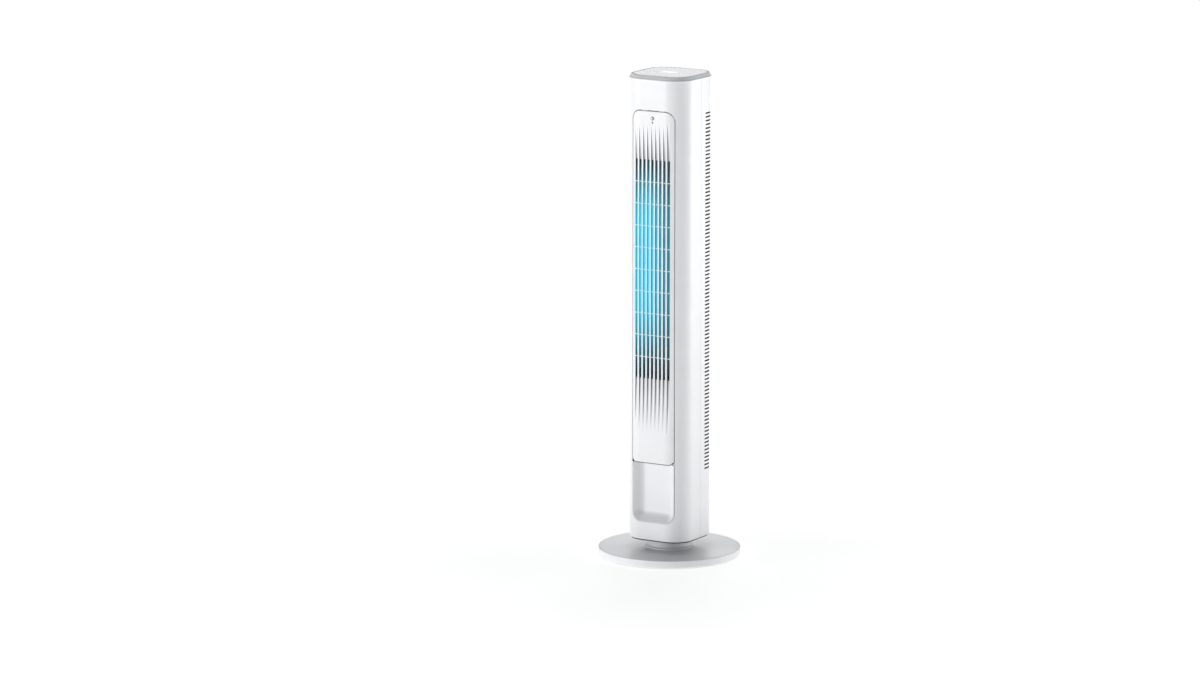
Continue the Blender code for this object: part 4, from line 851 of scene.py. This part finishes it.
def make_front_grille():
    slab = front_arc(0.0, grille_half) + front_arc(GRILLE_THICK, grille_half)[::-1]
    grille = prism("front_grille_fine", slab, lip_z - REACH, grille_top + REACH)
    sheet = mesh_object("sheet", *stack_loops(follow_front(grille_outline, -EDGE_CHAMFER, -0.03)))
    combine(grille, sheet, "INTERSECT")
    cutters = []
    for i in range(SLOT_COUNT):
        x = (i - (SLOT_COUNT - 1) / 2) * SLOT_PITCH
        cutters.append(prism_parts(slot_profile(x), x - SLOT_WIDTH / 2, x + SLOT_WIDTH / 2, "X"))
    combine(grille, mesh_object("slots", *joined(cutters)), "DIFFERENCE")
    for name in ("ir_window", "status_lens"):
        low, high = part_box(name)
        radius = (high.x - low.x) / 2 + LOOSE
        front, back = low.y - REACH, low.y + 2 * REACH
        hole = [(0.0, front), (radius, front), (radius, back), (0.0, back)]
        centre = ((low.x + high.x) / 2, (low.z + high.z) / 2)
        combine(grille, turned("hole", hole, centre=centre, axis="Y", steps=SMALL_TURN), "DIFFERENCE")
    soft_edges(grille, 0.00022, 50.0)
    combine(grille, mesh_object("hooks", *joined(hook_parts())), "UNION")
    # The grille takes the painted cool glow of the outlet.
    finished(grille, "grille", "white_plastic", "front_grille", look=GLOW_PAINTED_WHITE)
    paint_wall_shade(grille)
    finished(mesh_object("grille_ties_fine", *joined(tie_parts())), "grille", "white_plastic")


def paint_wall_shade(grille):
    """Painted shade: darker plastic on the walls of slots and flutes and at the grille's sides, and a painted
    shadow line under the lower lip.
    """
    grille.data.materials.append(SHADE_AND_GLOW_PAINTED_WALL)
    grille.data.materials.append(PAINTED_SHADE_GREY)
    reach = (SLOT_COUNT - 1) / 2 * SLOT_PITCH + SLOT_WIDTH
    for face in grille.data.polygons:
        centre, normal = face.center, face.normal
        if abs(normal.x) > 0.9 and abs(centre.x) < reach:
            face.material_index = 1
        elif centre.z < lip_z + LIP_CORNER and normal.z < -0.2:
            face.material_index = 2
        elif abs(normal.x) > 0.9 and abs(centre.x) > grille_half - 0.001:
            face.material_index = 2


def tie_parts():
    """Thin rounded bars across the slots."""
    cells = max(1, round((outlet_top - outlet_bottom) / TIE_PITCH))
    spacing = (outlet_top - outlet_bottom) / cells
    reach = (SLOT_COUNT - 1) / 2 * SLOT_PITCH + SLOT_WIDTH / 2 + 0.0008
    front = -column_half + TIE_SETBACK
    parts = []
    for i in range(1, cells):
        z = outlet_bottom + i * spacing
        profile = rounded_rectangle((front, z - TIE_HALF), (front + TIE_DEPTH, z + TIE_HALF),
                                    0.0006, 0.0006, 4)
        parts.append(prism_parts(profile, -reach, reach, "X"))
    return parts


def hook_parts():
    """Two flat hooks at the top, on which the grille tilts."""
    spacing = 0.04
    width = 0.012
    front = surface_y((spacing + width) / 2, SHELL_WALL) + 0.0006
    parts = []
    for x in (-spacing / 2, spacing / 2):
        profile = rounded_rectangle((x - width / 2, grille_top - 0.003),
                                    (x + width / 2, grille_top + HOOK_HEIGHT), 0.0008, 0.002, 4)
        parts.append(prism_parts(profile, front, front + 0.002, "Y"))
    return parts


def recess_loop(inset, depth_share, floor_y, rim_gap, roof):
    """One loop down the recess's wall, from the rim at share 0 to the floor at share 1."""
    half = grille_half - rim_gap - inset
    low = panel_bottom + PANEL_GAP + rim_gap + inset
    corner = max(0.006, PANEL_CORNER - PANEL_GAP - rim_gap - inset * 0.8)
    outline = arc((half - corner, low + corner), corner, -90, 0, 16)
    step_z = lip_z - PANEL_GAP
    upper = [low + corner + (step_z - 0.0002 - low - corner) * i / 6 for i in range(1, 7)]
    upper += [step_z + 0.0002, roof - 0.004]
    outline += [(half, z) for z in upper]
    outline += arc((half - 0.003, roof - 0.003), 0.003, 0, 90, 3)
    outline += [(half - 0.003 - (2 * half - 0.006) * i / 12, roof) for i in range(1, 12)]
    outline += arc((-half + 0.003, roof - 0.003), 0.003, 90, 180, 3)
    outline += [(-half, z) for z in reversed(upper)]
    outline += arc((-half + corner, low + corner), corner, 180, 270, 16)
    bottom = 2 * (half - corner)
    outline += [(-half + corner + bottom * i / 12, low) for i in range(1, 12)]
    loop = []
    for x, z in outline:
        rim = surface_y(x, GRILLE_THICK + 0.0006 if z > step_z else 0.0)
        loop.append((x, rim + (floor_y - rim) * depth_share, z))
    return loop


def recess_rings(slope, fillet):
    """(inset, share of depth) down the wall: rounded rim, leaning wall and fillet at the floor."""
    rings = [(-0.0008, 0.0), (-0.0003, 0.008), (0.0, 0.04)]
    rings += [(slope * share, share) for share in (0.25, 0.5)]
    start, knee, end = (slope * 0.68, 0.68), (slope * 1.02, 1.0), (slope + fillet, 1.0)
    for i in range(7):
        t = i / 6
        weights = ((1 - t) ** 2, 2 * t * (1 - t), t * t)
        rings.append(tuple(sum(w * p[k] for w, p in zip(weights, (start, knee, end))) for k in (0, 1)))
    return rings


def make_recess_tray():
    """Dished tray under the grille's lip, with a pocket for the fingertips behind the lip."""
    floor = -column_half + RECESS_DEPTH
    roof = lip_z + LIP_POCKET
    inner = [recess_loop(inset, share, floor, RECESS_RIM, roof)
             for inset, share in recess_rings(RECESS_SLOPE, RECESS_FILLET)]
    outer = [recess_loop(inset, share, floor + RECESS_WALL, 0.0, roof + RECESS_WALL)
             for inset, share in recess_rings(RECESS_SLOPE, RECESS_FILLET)[2:]]
    outer.insert(0, recess_loop(0.0, 0.0, floor + RECESS_WALL, 0.0, roof + RECESS_WALL))
    tray = mesh_object("recess_tray_fine", *stack_loops(outer[::-1] + inner))
    finished(tray, "column", "white_plastic", "recess_tray")


def make_lenses():
    for name in ("ir_window", "status_lens"):
        low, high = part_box(name)
        radius = (high.x - low.x) / 2
        centre = ((low.x + high.x) / 2, (low.z + high.z) / 2)
        dome = [(0.0, low.y), (radius * 0.6, low.y + 0.00005), (radius * 0.88, low.y + 0.0002)]
        profile = dome + [(radius, low.y + 0.0006), (radius, high.y), (0.0, high.y)]
        made = turned(f"{name}_fine", profile, centre=centre, axis="Y", steps=SMALL_TURN)
        finished(made, "grille", "smoked_lens", name)


# ---------------------------------------------------------------- top

def make_top():
    low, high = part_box("top_cap")
    top = high.z
    lip = high.x
    plug = inner_half - 0.0003
    wall = 0.0025
    lip_z_low = shell_top + 0.0004
    top_half = lip - 0.004
    touch_low, touch_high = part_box("touch_panel")
    touch = touch_high.x
    seat = touch_low.z - 0.0003
    profile = [(touch + 0.0003, seat), (touch + 0.0003, top - 0.0002), (touch + 0.0006, top)]
    profile += [(top_half - 0.0006, top), (top_half, top - 0.0004)]
    profile += [(lip - 0.0014, lip_z_low + 0.0018), (lip - 0.0013, lip_z_low + 0.0013)]
    profile += [(lip - 0.0004, lip_z_low + 0.0012), (lip, lip_z_low + 0.0009)]
    profile += [(lip, lip_z_low + 0.0003), (lip - 0.0003, lip_z_low), (plug, lip_z_low)]
    profile += [(plug, low.z), (plug - wall, low.z), (plug - wall, seat - wall)]
    cap = column_loft("top_cap_fine", profile[::-1])
    finished(cap, "column", "grey_cap_plastic", "top_cap")
    rings = [(touch, touch_low.z), (touch, top - 0.0002), (touch - 0.0002, top)]
    panel = column_loft("touch_panel_fine", rings)
    display_low, display_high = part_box("display_window")
    hole = rounded_rectangle((display_low.x - LOOSE, display_low.y - LOOSE),
                             (display_high.x + LOOSE, display_high.y + LOOSE), 0.0018, 0.0018, 6)
    cutter = prism("hole", hole, touch_low.z - OVERLAP, top + OVERLAP)
    combine(panel, cutter, "DIFFERENCE")
    finished(panel, "column", "touch_panel_gloss", "touch_panel")
    make_display(display_low, display_high)
    make_touch_marks(top)


def make_display(low, high):
    """Window of the display, with softened edges and round corners."""
    loops = []
    for inset, z in ((0.0, low.z), (0.0, high.z - 0.0002), (0.0002, high.z)):
        outline = rounded_rectangle((low.x + inset, low.y + inset), (high.x - inset, high.y - inset),
                                    0.0015, 0.0015, 6)
        loops.append([(x, y, z) for x, y in outline])
    window = mesh_object("display_window_fine", *stack_loops(loops))
    finished(window, "column", "display_lens", "display_window")


def bar_parts(start, end, width, low, high):
    """Flat bar with round ends between two points."""
    start, end = Vector(start), Vector(end)
    angle = math.degrees(math.atan2(end.y - start.y, end.x - start.x))
    outline = arc(end, width / 2, angle - 90, angle + 90, 6)
    outline += arc(start, width / 2, angle + 90, angle + 270, 6)
    return prism_parts(outline, low, high)


def ring_parts(centre, radius, width, start, end, low, high):
    """Flat arc with square ends round a centre."""
    outline = arc(centre, radius + width / 2, start, end, 24)
    outline += arc(centre, radius - width / 2, start, end, 24)[::-1]
    return prism_parts(outline, low, high)


def make_touch_marks(top):
    """Plain key marks printed on the touch panel: power, timer, swing, mode and speed."""
    low, high = top - 0.00005, top + 0.00004
    line = 0.0012
    marks = []

    def bar(start, end, width=line):
        marks.append(bar_parts(start, end, width, low, high))

    def ring(centre, radius, start, end):
        marks.append(ring_parts(centre, radius, line, start, end, low, high))

    ring((-0.034, -0.034), 0.0062, 120, 420)
    bar((-0.034, -0.0305), (-0.034, -0.0255))
    timer = (-0.008, -0.036)
    ring(timer, 0.0058, 0, 359.9)
    bar(timer, (-0.008, -0.0325))
    bar(timer, (-0.0055, -0.036))
    ring((0.016, -0.038), 0.0080, 35, 145)
    bar((0.0095, -0.0333), (0.0130, -0.0345))
    bar((0.0225, -0.0333), (0.0190, -0.0345))
    for turn in (90, 210, 330):
        angle = math.radians(turn)
        middle = (0.036 + 0.0036 * math.cos(angle), 0.033 + 0.0036 * math.sin(angle))
        ring(middle, 0.0030, turn - 150, turn + 90)
    for i in range(4):
        x = 0.028 + 0.005 * i
        bar((x, -0.036), (x, -0.0335 + 0.002 * i), line * 1.3)
    for i in range(3):
        y = -0.004 + 0.004 * i
        bar((-0.040, y), (-0.031 - 0.001 * i, y))
    made = mesh_object("touch_marks", *joined(marks))
    finished(made, "column", "touch_panel_gloss", look=MARK_WHITE)


# ---------------------------------------------------------------- impeller

def make_impeller():
    """Cross-flow wheel: curved blades between discs, with a hub at each end."""
    low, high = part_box("impeller")
    radius = high.x * 0.999
    centre = (0.0, (low.y + high.y) / 2)
    disc = 0.0020
    depth = 0.0105
    blades = 48
    sections = 6
    span = (high.z - low.z - disc) / sections
    parts = []
    for i in range(sections + 1):
        z = low.z + i * span
        inner = 0.0043 if i in (0, sections) else radius - depth - 0.003
        profile = soften([(radius, z), (radius, z + disc), (inner, z + disc), (inner, z)], 0.0003, 2)
        parts.append(turned_parts(profile, centre, steps=96))
    outline = []
    for offset in (-0.0005, 0.0005):
        run = []
        for i in range(7):
            share = i / 6
            r = radius - depth + share * (depth - 0.0006)
            lead = math.radians(16) * share ** 1.6
            run.append((r, lead + offset / r))
        outline += run if offset < 0 else run[::-1]
    for i in range(blades):
        turn = 2 * math.pi * i / blades
        blade = [(centre[0] + r * math.cos(a + turn), centre[1] + r * math.sin(a + turn))
                 for r, a in outline]
        parts.append(prism_parts(blade, low.z + disc / 2, high.z - disc / 2))
    for start, end, bore in ((low.z, low.z + 0.020, 0.0043), (high.z - 0.020, high.z, 0.0033)):
        hub = soften([(0.010, start), (0.010, end), (bore, end), (bore, start)], 0.0008)
        parts.append(turned_parts(hub, centre, steps=48))
    wheel = mesh_object("impeller_fine", *joined(parts))
    # Its slot's plastic carries the painted cool glow.
    finished(wheel, "wheel", "impeller_plastic", "impeller")


# ---------------------------------------------------------------- carried-over nodes

def dress_nodes():
    """Gives every node that stays in view the material of its slot."""
    for entry in frame["record"]["subparts"]:
        node = nodes[entry["node"]]
        if not node.hide_render:
            node.data.materials.clear()
            node.data.materials.append(SLOT_LOOKS[entry["material_slot"]])
    # Painted glow: the outlet frame, duct floor and duct roof take the duct's painted cool glow.
    for name in ("outlet_frame", "duct_floor", "duct_roof"):
        nodes[name].data.materials.clear()
        nodes[name].data.materials.append(GLOW_PAINTED_DUCT)


# ---------------------------------------------------------------- studio

FLOOR_GLOW = 0.86
LIGHT_HEIGHT = 0.5  # where the lights are aimed
CAMERA_AZIMUTH = 31.3113
CAMERA_ELEVATION = 10.7236
CAMERA_DISTANCE = 11.7917
CAMERA_AIM = 0.4602  # height of the point it looks at
CAMERA_ASIDE = 0.1451  # and how far left of the fan that point is


def away(azimuth, elevation):
    """Unit vector from the fan; azimuth 0 points out of its front."""
    a, e = math.radians(azimuth), math.radians(elevation)
    return Vector((math.sin(a) * math.cos(e), -math.cos(a) * math.cos(e), math.sin(e)))


def aimed(thing, target, back, distance):
    """Puts a lamp or camera at a distance from the target, facing it."""
    thing.location = target + back * distance
    thing.rotation_mode = "QUATERNION"
    thing.rotation_quaternion = (-back).to_track_quat("-Z", "Y")
    bpy.context.scene.collection.objects.link(thing)


def make_floor():
    """Pale floor that brightens away from the object."""
    steps = 96
    radii = (0.3, 0.6, 1.2, 3.0, 8.0, 40.0)
    points = [(0.0, 0.0, 0.0)]
    faces = []
    for ring, radius in enumerate(radii):
        first = 1 + ring * steps
        for i in range(steps):
            angle = 2 * math.pi * i / steps
            points.append((radius * math.cos(angle), radius * math.sin(angle), 0.0))
            j = (i + 1) % steps
            if ring == 0:
                faces.append((0, 1 + i, 1 + j))
            else:
                faces.append((first - steps + i, first + i, first + j, first - steps + j))
    floor = mesh_object("floor", points, faces)
    made, tree, shader, place = new_material("studio_floor", 0.85)
    flat = add_node(tree, "ShaderNodeVectorMath", {0: place}, operation="LENGTH")
    share = ranged(tree, flat.outputs["Value"], (0.15, 1.6), (0.75, 1.0))
    stops = [(0.0, (0.80, 0.80, 0.80)), (1.0, (0.82, 0.82, 0.82))]
    tree.links.new(colour_ramp(tree, noise(tree, place, 3.0), stops), shader.inputs["Base Color"])
    shader.inputs["Specular IOR Level"].default_value = 0.1
    shader.inputs["Emission Color"].default_value = (1.0, 1.0, 1.0, 1.0)
    tree.links.new(product(tree, share, FLOOR_GLOW), shader.inputs["Emission Strength"])
    floor.data.materials.append(made)


def softbox(name, azimuth, elevation, distance, width, height, power):
    """Rectangular area light aimed at the column's middle."""
    data = bpy.data.lights.new(name, "AREA")
    data.shape = "RECTANGLE"
    data.size = width
    data.size_y = height
    data.energy = power
    aimed(bpy.data.objects.new(name, data), Vector((0.0, 0.0, LIGHT_HEIGHT)),
          away(azimuth, elevation), distance)


def make_studio():
    scene = bpy.context.scene
    world = bpy.data.worlds.new("studio")
    scene.world = world
    world.use_nodes = True
    tree = world.node_tree
    background = tree.nodes["Background"]
    background.inputs["Strength"].default_value = 0.42
    direction = tree.nodes.new("ShaderNodeTexCoord").outputs["Generated"]
    height = add_node(tree, "ShaderNodeSeparateXYZ", {"Vector": direction}).outputs["Z"]
    stops = [(0.0, (1.0, 1.0, 1.0)), (0.25, (0.97, 0.98, 1.0)), (0.9, (0.28, 0.285, 0.29))]
    tree.links.new(colour_ramp(tree, height, stops), background.inputs["Color"])
    softbox("key_left", -42, -2.5, 3.2, 1.6, 0.9, 45)
    softbox("key_right", 134, -2.5, 3.2, 1.6, 0.9, 39)
    softbox("fill_back", 205, 12, 3.5, 2.1, 2.1, 28)
    scene.view_settings.view_transform = "Standard"
    scene.view_settings.look = "None"


def make_camera():
    """Camera fitted to the photo; the fan stands right of the picture's middle."""
    data = bpy.data.cameras.new("camera")
    data.sensor_width = 36.0
    data.lens = 170.4
    data.clip_start = 0.1
    data.clip_end = 200.0
    right = away(CAMERA_AZIMUTH + 90, 0.0)
    target = Vector((0.0, 0.0, CAMERA_AIM)) - right * CAMERA_ASIDE
    camera = bpy.data.objects.new("camera", data)
    aimed(camera, target, away(CAMERA_AZIMUTH, CAMERA_ELEVATION), CAMERA_DISTANCE)
    bpy.context.scene.camera = camera


make_camera()
make_base()
make_front_shell()
make_rear_shell()
make_vent_filter()
make_front_grille()
make_recess_tray()
make_lenses()
make_top()
make_impeller()
dress_nodes()
make_floor()
make_studio()
